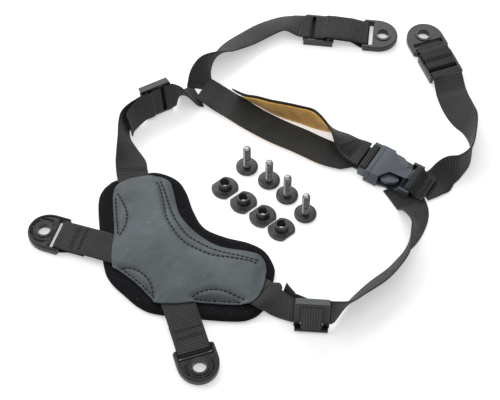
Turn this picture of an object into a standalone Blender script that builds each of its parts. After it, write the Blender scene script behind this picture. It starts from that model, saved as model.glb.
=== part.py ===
"""Four-point chin-strap harness with a nape pad, laid out with its screws and post nuts.

Sizes and route points are in millimetres in the layout's own frame; LAYOUT_CENTRE moves the
middle of the laid-out harness to the origin, and the floor is Z = 0.
"""
import math

import bmesh
import bpy
from mathutils import Matrix, Vector

MM = 0.001
LAYOUT_CENTRE = (4.47, 11.6)
UP = Vector((0, 0, 1))

# webbing
WEB_WIDTH = 19.0
WEB_THICKNESS = 1.3
HALF_WEB = WEB_THICKNESS / 2
GAP = 0.3
LAYER = WEB_THICKNESS + GAP
LINING_WIDTH = 17.4
LINING_THICKNESS = 0.9
FLOOR_GAP = 0.1
FLOOR_LAYER = 0.95
BEND = 1.2

# strap sliders (tri-glides)
SLIDER_LENGTH = 21.0
SLIDER_WIDTH = 23.4
SLIDER_PLATE = 2.0
RAIL_WIDTH = 1.8
RAIL_BACK = 1.2
RAIL_FRONT = 4.0
END_BAR = 3.8
CENTRE_BAR = 3.2
THROUGH = -(SLIDER_PLATE / 2 + GAP + HALF_WEB)
KEEPER = THROUGH - LAYER
OVER = -THROUGH + LAYER
HOOK = -THROUGH
SLOT_EDGE = SLIDER_LENGTH / 2 - END_BAR - GAP - HALF_WEB

# anchors
ANCHOR_WIDTH = 25.0
ANCHOR_THICKNESS = 4.4
ANCHOR_NOSE = 10.0
ANCHOR_BAR_FROM_HOLE = 12.0
ANCHOR_BAR_RADIUS = 1.3
ANCHOR_BAR_HEIGHT = 3.0
ANCHOR_HOLE_RADIUS = 4.1
ANCHOR_EAR_GAP = 20.0
ANCHOR_SLOT_END = 5.4
ANCHOR_EAR_END = 1.8
ANCHOR_ROUNDING = 0.6
ANCHOR_RING_WIDTH = 1.6
ANCHOR_RING_HEIGHT = 0.6
ANCHOR_LOOP = ANCHOR_BAR_RADIUS + GAP + HALF_WEB

# buckle
BUCKLE_TOP_HALF = 11.8
BUCKLE_FOOT_HALF = 14.6
BUCKLE_HEIGHT = 7.2
BUCKLE_FLOOR = 1.8
BUCKLE_ROOF = 5.4
COLLAR_LENGTH = 6.2
CAVITY_HALF = 9.6
SPINE_HALF = 4.2
FEMALE_LENGTH = 27.4
FEMALE_BAR = 25.8
END_BLOCK = (19.6, 22.0)
MALE_BAR = -6.4
MALE_BODY = (-3.0, -0.3)
MALE_EAR_END = -8.2
GUIDE_HALF = 2.0
GUIDE_LENGTH = 9.0
PRONG_FLOOR = 2.2
PRONG_HEIGHT = 2.8
PRONG_ROOT = (0.0, 5.2)
STRAP_BAR_RADIUS = 1.4
STRAP_BAR_HEIGHT = 3.6
STRAP_BAR_HALF = 11.0
BUCKLE_LOOP = STRAP_BAR_RADIUS + GAP + HALF_WEB

# screws and post nuts
HEAD_RADIUS = 7.0
HEAD_HEIGHT = 2.6
HEAD_RIM = 0.8
SHANK_RADIUS = 2.5
SHANK_LENGTH = 18.0
SOCKET_RADIUS = 2.0
SOCKET_DEPTH = 1.6
FLANGE_RADIUS = 8.5
FLANGE_THICKNESS = 1.3
FLANGE_FLAT = 7.0
BARREL_RADIUS = 3.9
BARREL_HEIGHT = 5.8
BORE_RADIUS = 2.8
FLAT_HEADING = 40.0

# nape pad, symmetrical about the long axis of its own frame
PAD_PLACE = (-44.2, -39.4, 0.0, 46, 0)
BASE_THICKNESS = 5.0
BASE_HALF = (
    (-43.4, 0), (-42.8, 13), (-38, 24), (-21.4, 46), (-9, 60.5), (-2, 65), (4.5, 66), (11, 64.5),
    (27.2, 55), (33, 49), (36.5, 38), (34, 27), (27.3, 14.2), (23, 0),
)
COVER_THICKNESS = 1.2
COVER_SEAM_HEIGHT = BASE_THICKNESS + GAP
COVER_CROWN = 6.6
COVER_MIDDLE = Vector((-6, 0))
COVER_RINGS = ((1.0, 0.0), (0.95, 0.42), (0.86, 0.72), (0.7, 0.91), (0.5, 0.99), (0.25, 1.0))
COVER_HALF = (
    (-34, 0), (-35, 14), (-35.5, 19), (-27, 28.5), (-19, 35), (-6.3, 50), (1, 57.5), (6.3, 59.5),
    (15, 57.5), (24, 51.5), (29.3, 46), (31.2, 39), (27.7, 31.5), (18.5, 16.5), (16, 0),
)
EXITS = ((16.8, 57.7), (-26.7, 30.6), (-27.6, -26.4), (12.1, -55.1))
EXIT_RISE = 1.9
EXIT_HALF_WIDTH = 13.0
EXIT_FADE = 5.0
FOAM_SCALE = 0.6
FOAM_FLOOR = 7.3
FOAM_THICKNESS = 2.8
INNER_LAYER = BASE_THICKNESS + GAP + HALF_WEB

# places: x, y, z, heading in degrees, lean in degrees
ANCHOR_REAR_LEFT = (-114.5, -29.3, ANCHOR_BAR_HEIGHT, 161.6, 0)
ANCHOR_REAR_BOTTOM = (-32.6, -107.6, ANCHOR_BAR_HEIGHT, -72, 0)
ANCHOR_FRONT_LEFT = (78.0, 134.0, ANCHOR_BAR_HEIGHT, -7, 0)
ANCHOR_FRONT_RIGHT = (121.6, 121.1, ANCHOR_BAR_HEIGHT, 110, 0)
SLIDER_FRONT_LEFT = (47.2, 137.8, 4.4, -7, 180)
SLIDER_FRONT_RIGHT = (126.9, 106.5, 4.4, 110, 180)
SLIDER_NAPE_LEFT = (-60.2, 70.5, 12.3, 208, 100)
SLIDER_NAPE_RIGHT = (36, -88.6, 12.2, 176, -77)
BUCKLE = (81.0, 25.0, 1.7, -32, 0)
SCREWS = ((-1.9, 24.9), (12.0, 14.3), (23.2, 2.9), (34.3, -11.0))
NUTS = ((-15.7, 8.7), (-4.0, -2.4), (7.9, -12.7), (19.3, -22.5))

# free webbing, as hand-laid points: x, y, z of the middle and lean in degrees
FRONT_LEFT_ROUTE = (
    (-32, 86, 3.9, 14), (-32.2, 92, 5.8, 42), (-30, 98.5, 7.5, 62), (-26.5, 104.5, 8.5, 92),
    (-22, 110.5, 8, 118), (-18, 116, 6.5, 138), (-12, 122, 4.8, 150), (-3, 129, 3.5, 158),
    (8, 137, 2.6, 160), (20, 142.8, 4.5, 158), (28, 142, 6.2, 166),
)
FRONT_RIGHT_ROUTE = (
    (132.6, 84, 2.5, 12), (134, 74, 3.4, 28), (137.3, 62, 5.8, 45), (140.8, 53, 8.5, 68),
    (141.8, 42, 9.8, 86), (139, 28, 10, 92), (131.5, 19.5, 9.8, 103), (125.5, 16.8, 7.6, 130),
    (121.5, 15, 3.6, 160), (118, 13.2, 0.9, 179), (112.4, 10.2, 0.75, 180), (107, 7.6, 0.75, 180),
)
REAR_RIGHT_ROUTE = (
    (92, 11, FLOOR_LAYER, 0), (97, 2, FLOOR_LAYER, 0), (100.3, -4.5, 1, 0), (101.8, -13, 3.8, -26),
    (101, -26, 9, -65), (98, -34.5, 10, -82), (92.5, -45.5, 9.8, -110), (86, -54.5, 9.4, -119),
    (76, -64, 9.2, -126), (64, -74.5, 9.8, -119), (56.5, -82, 10.8, -108),
)
REAR_RIGHT_TO_PAD = (
    (16.3, -80.8, 11.2, -64), (13.3, -77.6, 11.4, -45), (10.6, -74.8, 10, -20), (7.5, -71.8, 6.8, -3),
    (4.6, -69.6, 5.85, 0), (-8, -64.2, INNER_LAYER, 0), (-30, -57, INNER_LAYER, 0),
)
REAR_LEFT_FROM_PAD = (
    (-62, -24, INNER_LAYER, 0), (-70, 1, INNER_LAYER, 0), (-73.7, 15, 6.1, 0), (-74.6, 20.5, 7.4, 4),
    (-75.8, 28, 7.6, 28), (-78, 37, 8.8, 54), (-80.2, 46, 10, 71), (-80, 54, 10.6, 78),
    (-75.8, 60, 10.9, 80),
)
REAR_LEFT_TO_JUNCTION = (
    (-45.3, 77, 10.5, 112), (-41.5, 79.2, 5, 148), (-38, 81, 2.2, 170), (-34, 82.8, 0.75, 180),
)
TAIL_LEFT_ROUTE = ((-73, 58.2, 11.2, 100), (-76.2, 53.4, 10.7, 98), (-76.6, 49.5, 10.4, 96))
TAIL_RIGHT_ROUTE = ((21.5, -77.5, 11.2, -75), (19.2, -74, 11, -74))
TAIL_RIGHT_SPREAD = 2.8
CHIN_REAR_ROUTE = (
    (-31, 85, 5.7, 0), (-25, 81.6, 4.4, 0), (-18.9, 78, 2.6, 0), (-8.8, 70.9, 1.95, 0),
    (3.9, 61.2, 1.95, 0), (17.9, 52.3, 1.95, 0), (32.5, 44.5, 1.95, 0), (48.5, 35.4, 1.95, 0),
    (60, 31.5, 2.2, 0),
)
CHIN_FRONT_ROUTE = (
    (-9, 80, 8.6, -57), (-1.6, 75.6, 8.7, -58), (5.8, 71.9, 9.2, -66), (14.2, 67.2, 9.6, -74),
    (22.8, 63.9, 9.7, -80), (33.5, 60.1, 9.8, -84), (41.8, 56.6, 9.8, -85), (51.6, 50, 9.6, -62),
    (58, 44.2, 8.4, -38), (62.8, 38.2, 7, -16), (67.4, 33.6, 7, -3), (72.7, 30.2, 7.2, 0),
)
LINING_REAR_SPAN = (8, 22)
LINING_FRONT_SPAN = (11, 37)


def spot(x, y, z):
    """World position of a layout point."""
    return Vector((x - LAYOUT_CENTRE[0], y - LAYOUT_CENTRE[1], z)) * MM


def smooth(points, steps, closed=False):
    """Rows along a Catmull-Rom curve through rows of numbers."""
    count = len(points)
    spans = count if closed else count - 1
    rows = []
    for i in range(spans):
        near = [i - 1, i, i + 1, i + 2]
        if closed:
            near = [k % count for k in near]
        else:
            near = [min(max(k, 0), count - 1) for k in near]
        a, b, c, d = (points[k] for k in near)
        for step in range(steps):
            t = step / steps
            rows.append([
                0.5 * (2 * q + (r - p) * t + (2 * p - 5 * q + 4 * r - s) * t * t
                       + (3 * q - p - 3 * r + s) * t ** 3)
                for p, q, r, s in zip(a, b, c, d)
            ])
    if not closed:
        rows.append(list(points[-1]))
    return rows


def frame_at(place):
    """Origin and the along, across and out directions of a place."""
    x, y, z, heading, lean = place
    heading = math.radians(heading)
    lean = math.radians(lean)
    along = Vector((math.cos(heading), math.sin(heading), 0))
    across = UP.cross(along) * math.cos(lean) + UP * math.sin(lean)
    return Vector((x, y, z)), along, across, along.cross(across)


def place_matrix(place):
    """World matrix of a place: local X along, Y across and Z out."""
    origin, along, across, out = frame_at(place)
    matrix = Matrix((along, across, out)).transposed().to_4x4()
    matrix.translation = spot(*origin)
    return matrix


def strap_stations(rows, steps=3):
    """Stations (middle, across, normal) of webbing laid through rows, never below the floor."""
    rows = smooth(rows, steps)
    stations = []
    for i, (x, y, z, lean) in enumerate(rows):
        ahead = Vector(rows[min(i + 1, len(rows) - 1)][:3])
        behind = Vector(rows[max(i - 1, 0)][:3])
        heading = (ahead - behind).normalized()
        left = UP.cross(heading).normalized()
        lean = math.radians(lean)
        across = left * math.cos(lean) + UP * math.sin(lean)
        normal = heading.cross(across).normalized()
        lowest = FLOOR_GAP + abs(across.z) * WEB_WIDTH / 2 + abs(normal.z) * HALF_WEB
        stations.append((Vector((x, y, max(z, lowest))), across, normal))
    return stations


def rounded(path, radius, steps=3):
    """A polyline with its corners rounded off."""
    path = [Vector(point) for point in path]
    points = [path[0]]
    for before, corner, after in zip(path, path[1:], path[2:]):
        back = before - corner
        ahead = after - corner
        turn = math.pi - back.angle(ahead)
        reach = min(radius * math.tan(turn / 2), back.length / 2, ahead.length / 2)
        start = corner + back.normalized() * reach
        end = corner + ahead.normalized() * reach
        for step in range(steps + 1):
            t = step / steps
            points.append(start * (1 - t) ** 2 + corner * 2 * t * (1 - t) + end * t * t)
    points.append(path[-1])
    return points


def folded(place, path):
    """Stations of webbing folded along (s, h) points in the plane of a place."""
    origin, along, across, out = frame_at(place)
    stations = []
    for i, (s, h) in enumerate(path):
        ahead = path[min(i + 1, len(path) - 1)]
        behind = path[max(i - 1, 0)]
        step = ahead - behind
        tangent = (along * step.x + out * step.y).normalized()
        stations.append((origin + along * s + out * h, across, tangent.cross(across)))
    return stations


def beside(place, s, h, forward):
    """Route row at (s, h) of a place, for webbing that travels forward or backward there."""
    origin, along, across, out = frame_at(place)
    lean = place[4] if forward else 180 - place[4]
    return (*(origin + along * s + out * h), lean)


SLIDER_ENTRY = 11.5
THROUGH_PATH = (
    (SLIDER_ENTRY, THROUGH), (SLOT_EDGE, THROUGH), (SLOT_EDGE, OVER), (-SLOT_EDGE, OVER),
    (-SLOT_EDGE, THROUGH), (-SLIDER_ENTRY, THROUGH),
)
KEEPER_PATH = (
    (2, HOOK), (-2.55, HOOK), (-2.55, THROUGH), (2.6, THROUGH), (4.8, KEEPER), (11.2, KEEPER),
)


def new_object(name, mesh, material):
    """A named object that holds a mesh and its material."""
    obj = bpy.data.objects.new(name, mesh)
    obj.data.materials.append(material)
    PARTS.objects.link(obj)
    return obj


def mesh_object(name, bm, material):
    """A named object from a finished bmesh."""
    bmesh.ops.recalc_face_normals(bm, faces=bm.faces)
    mesh = bpy.data.meshes.new(name)
    bm.to_mesh(mesh)
    bm.free()
    return new_object(name, mesh, material)


def ribbon(name, stations, material, width=WEB_WIDTH, thickness=WEB_THICKNESS, offset=0.0):
    """A flat strap lofted through stations; offset moves it along its own normal."""
    bm = bmesh.new()
    rings = []
    for middle, across, normal in stations:
        middle = middle + normal * offset
        side = across * (width / 2)
        lift = normal * (thickness / 2)
        corners = (middle + side + lift, middle - side + lift, middle - side - lift, middle + side - lift)
        rings.append([bm.verts.new(spot(*corner)) for corner in corners])
    for ring, following in zip(rings, rings[1:]):
        for k in range(4):
            after = (k + 1) % 4
            bm.faces.new((ring[k], ring[after], following[after], following[k]))
    bm.faces.new(rings[0])
    bm.faces.new(rings[-1])
    return mesh_object(name, bm, material)


def to_mesh(obj):
    """The object again as a welded mesh, with its modifiers or curve settings applied."""
    depsgraph = bpy.context.evaluated_depsgraph_get()
    mesh = bpy.data.meshes.new_from_object(obj.evaluated_get(depsgraph))
    bm = bmesh.new()
    bm.from_mesh(mesh)
    bmesh.ops.remove_doubles(bm, verts=bm.verts, dist=0.00001)
    bmesh.ops.recalc_face_normals(bm, faces=bm.faces)
    bm.to_mesh(mesh)
    bm.free()
    solid = bpy.data.objects.new(obj.name, mesh)
    solid.matrix_world = obj.matrix_world
    PARTS.objects.link(solid)
    name = obj.name
    bpy.data.objects.remove(obj)
    solid.name = name
    return solid


def plate(name, loops, low, high, material, rounding=0.0):
    """A flat plate between two heights; the first outline is its rim, the others are holes."""
    curve = bpy.data.curves.new(name, "CURVE")
    curve.dimensions = "2D"
    curve.fill_mode = "BOTH"
    curve.extrude = ((high - low) / 2 - rounding) * MM
    curve.bevel_depth = rounding * MM
    curve.bevel_resolution = 1
    curve.offset = -rounding * MM
    for loop in loops:
        spline = curve.splines.new("POLY")
        spline.points.add(len(loop) - 1)
        spline.use_cyclic_u = True
        for point, (x, y) in zip(spline.points, loop):
            point.co = (x * MM, y * MM, 0, 1)
    obj = new_object(name, curve, material)
    solid = to_mesh(obj)
    solid.data.transform(Matrix.Translation((0, 0, (low + high) / 2 * MM)))
    return solid


def circle(x, y, radius, count=24):
    """Points of a circle."""
    turns = [math.tau * i / count for i in range(count)]
    return [(x + radius * math.cos(a), y + radius * math.sin(a)) for a in turns]


def box_outline(x_low, x_high, y_low, y_high):
    """Corner points of a rectangle."""
    return [(x_low, y_low), (x_high, y_low), (x_high, y_high), (x_low, y_high)]


def turned(name, profile, material, steps=24):
    """A turned piece from (radius, height) points that run down its outer side."""
    mesh = bpy.data.meshes.new(name)
    verts = [(r * MM, 0, z * MM) for r, z in profile]
    edges = [(i, i + 1) for i in range(len(verts) - 1)]
    mesh.from_pydata(verts, edges, [])
    obj = new_object(name, mesh, material)
    screw = obj.modifiers.new("turn", "SCREW")
    screw.steps = steps
    screw.render_steps = steps
    screw.use_merge_vertices = True
    screw.merge_threshold = 0.00001
    return to_mesh(obj)


def rod(name, radius, half_length, s, h, material):
    """A round bar across a piece, at (s, h) in the piece's own frame."""
    profile = ((0, half_length), (radius, half_length), (radius, -half_length), (0, -half_length))
    bar = turned(name, profile, material, 16)
    bar.data.transform(Matrix.Rotation(math.pi / 2, 4, "X"))
    bar.data.transform(Matrix.Translation((s * MM, 0, h * MM)))
    return bar


def combine(target, tool, operation):
    """Join a tool to a target, or cut the target with it."""
    boolean = target.modifiers.new(operation.lower(), "BOOLEAN")
    boolean.operation = operation
    boolean.object = tool
    boolean.solver = "EXACT"
    solid = to_mesh(target)
    bpy.data.objects.remove(tool)
    return solid


def finish(obj, place=None, material=None):
    """Put a finished piece in its place with its own material and smooth round faces."""
    obj.data.materials.clear()
    obj.data.materials.append(material)
    obj.data.shade_smooth()
    obj.data.set_sharp_from_angle(angle=math.radians(35))
    if place:
        obj.matrix_world = place_matrix(place)
    return obj


def surface(name, colour, roughness, metallic=0.0):
    """A plain Principled material."""
    material = bpy.data.materials.new(name)
    material.use_nodes = True
    shader = material.node_tree.nodes["Principled BSDF"]
    shader.inputs["Base Color"].default_value = (*colour, 1)
    shader.inputs["Roughness"].default_value = roughness
    shader.inputs["Metallic"].default_value = metallic
    return material


def make_slider(name, place):
    """A tri-glide: a plate with two slots between raised side rails."""
    half_length = SLIDER_LENGTH / 2
    half_width = SLIDER_WIDTH / 2
    inner = half_width - RAIL_WIDTH + 0.4
    slot_start = CENTRE_BAR / 2
    slot_end = half_length - END_BAR
    chamfer = 1.6
    rim = [
        (-half_length, -half_width + chamfer), (-half_length + chamfer, -half_width),
        (half_length - chamfer, -half_width), (half_length, -half_width + chamfer),
        (half_length, half_width - chamfer), (half_length - chamfer, half_width),
        (-half_length + chamfer, half_width), (-half_length, half_width - chamfer),
    ]
    slots = [box_outline(slot_start, slot_end, -inner, inner)]
    slots.append(box_outline(-slot_end, -slot_start, -inner, inner))
    body = plate(name, [rim] + slots, -SLIDER_PLATE / 2, SLIDER_PLATE / 2, PLASTIC)
    for side in (-1, 1):
        edges = sorted((side * half_width * 1.0, side * (half_width - RAIL_WIDTH)))
        outline = box_outline(-half_length + 0.6, half_length - 0.6, edges[0], edges[1])
        rail = plate("rail", [outline], -RAIL_BACK, RAIL_FRONT, PLASTIC, 0.5)
        body = combine(body, rail, "UNION")
    return finish(body, place, PLASTIC)


def make_anchor(name, place):
    """A D-shaped end fitting with an eyelet, two ears and a strap bar at its origin."""
    half = ANCHOR_WIDTH / 2
    ear = ANCHOR_EAR_GAP / 2
    hole = ANCHOR_BAR_FROM_HOLE
    nose = hole + ANCHOR_NOSE
    corner = 2.4
    rim = [(-ANCHOR_EAR_END, ear), (ANCHOR_SLOT_END, ear), (ANCHOR_SLOT_END, -ear), (-ANCHOR_EAR_END, -ear)]
    rim.append((-ANCHOR_EAR_END, -half + corner))
    rim.append((-ANCHOR_EAR_END + corner / 2, -half))
    bow = [math.radians(-90 + 180 * i / 16) for i in range(17)]
    shoulder = hole - 3.5
    rim += [(shoulder + (nose - shoulder) * math.cos(a), half * math.sin(a)) for a in bow]
    rim.append((-ANCHOR_EAR_END + corner / 2, half))
    rim.append((-ANCHOR_EAR_END, half - corner))
    low = -ANCHOR_THICKNESS / 2
    high = ANCHOR_THICKNESS / 2
    eyelet = circle(hole, 0, ANCHOR_HOLE_RADIUS)
    body = plate(name, [rim, eyelet], low, high, PLASTIC, ANCHOR_ROUNDING)
    ring_outside = circle(hole, 0, ANCHOR_HOLE_RADIUS + ANCHOR_RING_WIDTH)
    ring = plate("ring", [ring_outside, eyelet], low + 1, high + ANCHOR_RING_HEIGHT, PLASTIC)
    body = combine(body, ring, "UNION")
    bar = rod("bar", ANCHOR_BAR_RADIUS, ear + 1.2, 0, 0, PLASTIC)
    body = combine(body, bar, "UNION")
    return finish(body, place, PLASTIC)


def trapezoid_prism(name, s_low, s_high, foot_half, top_half, low, high):
    """A block along s with sloping sides."""
    bm = bmesh.new()
    bmesh.ops.create_cube(bm, size=1.0)
    for vert in bm.verts:
        half = top_half if vert.co.z > 0 else foot_half
        s = s_high if vert.co.x > 0 else s_low
        h = high if vert.co.z > 0 else low
        side = math.copysign(half, vert.co.y)
        vert.co = Vector((s, side, h)) * MM
    return mesh_object(name, bm, PLASTIC)


def make_buckle_female(place):
    """The socket half: a collar, a spine over the open prong windows and a strap bar."""
    body = trapezoid_prism(
        "buckle_female", 0, COLLAR_LENGTH, BUCKLE_FOOT_HALF, BUCKLE_TOP_HALF, 0, BUCKLE_HEIGHT)
    foot = BUCKLE_FOOT_HALF - 0.6
    arm_outer = STRAP_BAR_HALF + 0.7
    arm_inner = STRAP_BAR_HALF - 1.1
    floor = [
        (COLLAR_LENGTH - 1, -foot), (11, -foot + 1.6), (19, -arm_outer), (FEMALE_LENGTH, -arm_outer),
        (FEMALE_LENGTH, -arm_inner), (22, -arm_inner), (22, arm_inner),
        (FEMALE_LENGTH, arm_inner), (FEMALE_LENGTH, arm_outer), (19, arm_outer),
        (11, foot - 1.6), (COLLAR_LENGTH - 1, foot),
    ]
    body = combine(body, plate("floor", [floor], 0, BUCKLE_FLOOR, PLASTIC), "UNION")
    spine = [
        (COLLAR_LENGTH - 1, -BUCKLE_TOP_HALF + 1), (COLLAR_LENGTH, -BUCKLE_TOP_HALF + 1),
        (10.5, -SPINE_HALF - 0.6), (16, -SPINE_HALF), (20, -SPINE_HALF), (22.2, -SPINE_HALF + 0.5),
        (22.2, SPINE_HALF - 0.5), (20, SPINE_HALF), (16, SPINE_HALF), (10.5, SPINE_HALF + 0.6),
        (COLLAR_LENGTH, BUCKLE_TOP_HALF - 1), (COLLAR_LENGTH - 1, BUCKLE_TOP_HALF - 1),
    ]
    roof = plate("roof", [spine], BUCKLE_ROOF, BUCKLE_HEIGHT, PLASTIC)
    body = combine(body, roof, "UNION")
    block = trapezoid_prism("block", *END_BLOCK, STRAP_BAR_HALF, SPINE_HALF, 0.5, BUCKLE_ROOF + 0.5)
    body = combine(body, block, "UNION")
    for side in (-1, 1):
        edges = sorted((side * arm_outer, side * arm_inner))
        outline = box_outline(20, FEMALE_LENGTH, edges[0], edges[1])
        arm = plate("arm", [outline], 1, STRAP_BAR_HEIGHT + STRAP_BAR_RADIUS + 0.3, PLASTIC)
        body = combine(body, arm, "UNION")
    bar = rod("bar", STRAP_BAR_RADIUS, STRAP_BAR_HALF, FEMALE_BAR, STRAP_BAR_HEIGHT, PLASTIC)
    body = combine(body, bar, "UNION")
    cavity = trapezoid_prism("cavity", -1, 19.2, CAVITY_HALF, CAVITY_HALF, BUCKLE_FLOOR, BUCKLE_ROOF)
    body = combine(body, cavity, "DIFFERENCE")
    return finish(body, place, PLASTIC)


def make_buckle_male(place):
    """The plug half's body, with its strap bar between two ears and its centre guide."""
    body = trapezoid_prism(
        "buckle_male", *MALE_BODY, BUCKLE_FOOT_HALF, BUCKLE_TOP_HALF, 0, BUCKLE_HEIGHT)
    for side in (-1, 1):
        edges = sorted((side * (STRAP_BAR_HALF + 1.4), side * (STRAP_BAR_HALF - 1)))
        outline = box_outline(MALE_EAR_END, MALE_BODY[0] + 1, edges[0], edges[1])
        ear = plate("ear", [outline], 0.4, STRAP_BAR_HEIGHT + STRAP_BAR_RADIUS + 0.6, PLASTIC)
        body = combine(body, ear, "UNION")
    bar = rod("bar", STRAP_BAR_RADIUS, STRAP_BAR_HALF, MALE_BAR, STRAP_BAR_HEIGHT, PLASTIC)
    body = combine(body, bar, "UNION")
    outline = box_outline(MALE_BODY[0] + 1, GUIDE_LENGTH, -GUIDE_HALF, GUIDE_HALF)
    guide = plate("guide", [outline], PRONG_FLOOR, PRONG_FLOOR + PRONG_HEIGHT, PLASTIC)
    body = combine(body, guide, "UNION")
    return finish(body, place, PLASTIC)


def make_prong(name, side):
    """One sprung arm of the plug, with its origin on its root's hinge line."""
    half = (
        (0, 3.2), (0, 7.2), (6.4, 8.3), (7.2, 10.8), (8.6, 11.5), (12.5, 11.2), (16.4, 9.2),
        (18, 6.9), (17.6, 5.2), (15, 4.6), (8, 5.2),
    )
    outline = [(s - PRONG_ROOT[0], side * (w - PRONG_ROOT[1])) for s, w in half]
    arm = plate(name, [outline], PRONG_FLOOR, PRONG_FLOOR + PRONG_HEIGHT, PLASTIC)
    origin, along, across, out = frame_at(BUCKLE)
    root = origin + along * PRONG_ROOT[0] + across * side * PRONG_ROOT[1]
    return finish(arm, (*root, BUCKLE[3], BUCKLE[4]), PLASTIC)


def pad_stations(half, steps):
    """Closed outline in the pad's own frame from one half of it."""
    other = [(u, -v) for u, v in reversed(half[1:-1])]
    return smooth(list(half) + other, steps, closed=True)


def make_pad():
    """The nape pad: a felt base, a foam filling and a domed cover sewn round its edge."""
    base_outline = pad_stations(BASE_HALF, 3)
    base = plate("nape_pad_base", [base_outline], 0.1, BASE_THICKNESS, FELT)
    finish(base, PAD_PLACE, FELT)

    cover_outline = [Vector(row) for row in pad_stations(COVER_HALF, 2)]
    foam_outline = [COVER_MIDDLE + (point - COVER_MIDDLE) * FOAM_SCALE for point in cover_outline]
    foam = plate("nape_pad_foam", [foam_outline], FOAM_FLOOR, FOAM_FLOOR + FOAM_THICKNESS, FOAM)
    finish(foam, PAD_PLACE, FOAM)

    bm = bmesh.new()
    rings = []
    for scale, rise in COVER_RINGS:
        ring = []
        for point in cover_outline:
            here = COVER_MIDDLE + (point - COVER_MIDDLE) * scale
            nearest = min((point - Vector(exit_point)).length for exit_point in EXITS)
            opening = min(max((EXIT_HALF_WIDTH + EXIT_FADE - nearest) / EXIT_FADE, 0), 1)
            height = COVER_SEAM_HEIGHT + COVER_CROWN * rise
            height += EXIT_RISE * opening * (1 - rise)
            ring.append(bm.verts.new(Vector((here.x, here.y, height)) * MM))
        rings.append(ring)
    count = len(cover_outline)
    for ring, following in zip(rings, rings[1:]):
        for k in range(count):
            after = (k + 1) % count
            bm.faces.new((ring[k], ring[after], following[after], following[k]))
    top = Vector((COVER_MIDDLE.x, COVER_MIDDLE.y, COVER_SEAM_HEIGHT + COVER_CROWN)) * MM
    peak = bm.verts.new(top)
    for k in range(count):
        bm.faces.new((rings[-1][k], rings[-1][(k + 1) % count], peak))
    cover = mesh_object("nape_pad_cover", bm, CLOTH)
    if cover.data.polygons[0].normal.z < 0:
        cover.data.flip_normals()
    shell = cover.modifiers.new("thickness", "SOLIDIFY")
    shell.thickness = COVER_THICKNESS * MM
    shell.offset = 1.0
    finish(to_mesh(cover), PAD_PLACE, CLOTH)


def through_slider(place, forward):
    """Stations of webbing threaded through a slider, from its A side or from its B side."""
    path = rounded(THROUGH_PATH, BEND)
    if forward:
        path = path[::-1]
    return folded(place, path)


def looped_strap_path(slider, anchor):
    """Keeper fold, upper layer, turn round the anchor's bar and lower layer back to the slider."""
    run = Vector(anchor[:2]) - Vector(slider[:2])
    heading = math.radians(slider[3])
    bar = run.x * math.cos(heading) + run.y * math.sin(heading)
    bar_h = slider[2] - anchor[2]
    top = bar_h - ANCHOR_LOOP
    bottom = bar_h + ANCHOR_LOOP
    turn = bar + ANCHOR_LOOP
    bridge = ()
    under = ()
    if bar > 20:
        bridge = ((22, KEEPER + 0.7),)
        under = ((22, THROUGH + 0.8),)
    path = KEEPER_PATH + bridge + (
        (bar - 0.6, top), (turn, top), (turn, bottom), (bar - 2.0, bottom)) + under + (
        (11.2, THROUGH),) + THROUGH_PATH[1:]
    return rounded(path, 1.6, 4)


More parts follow.
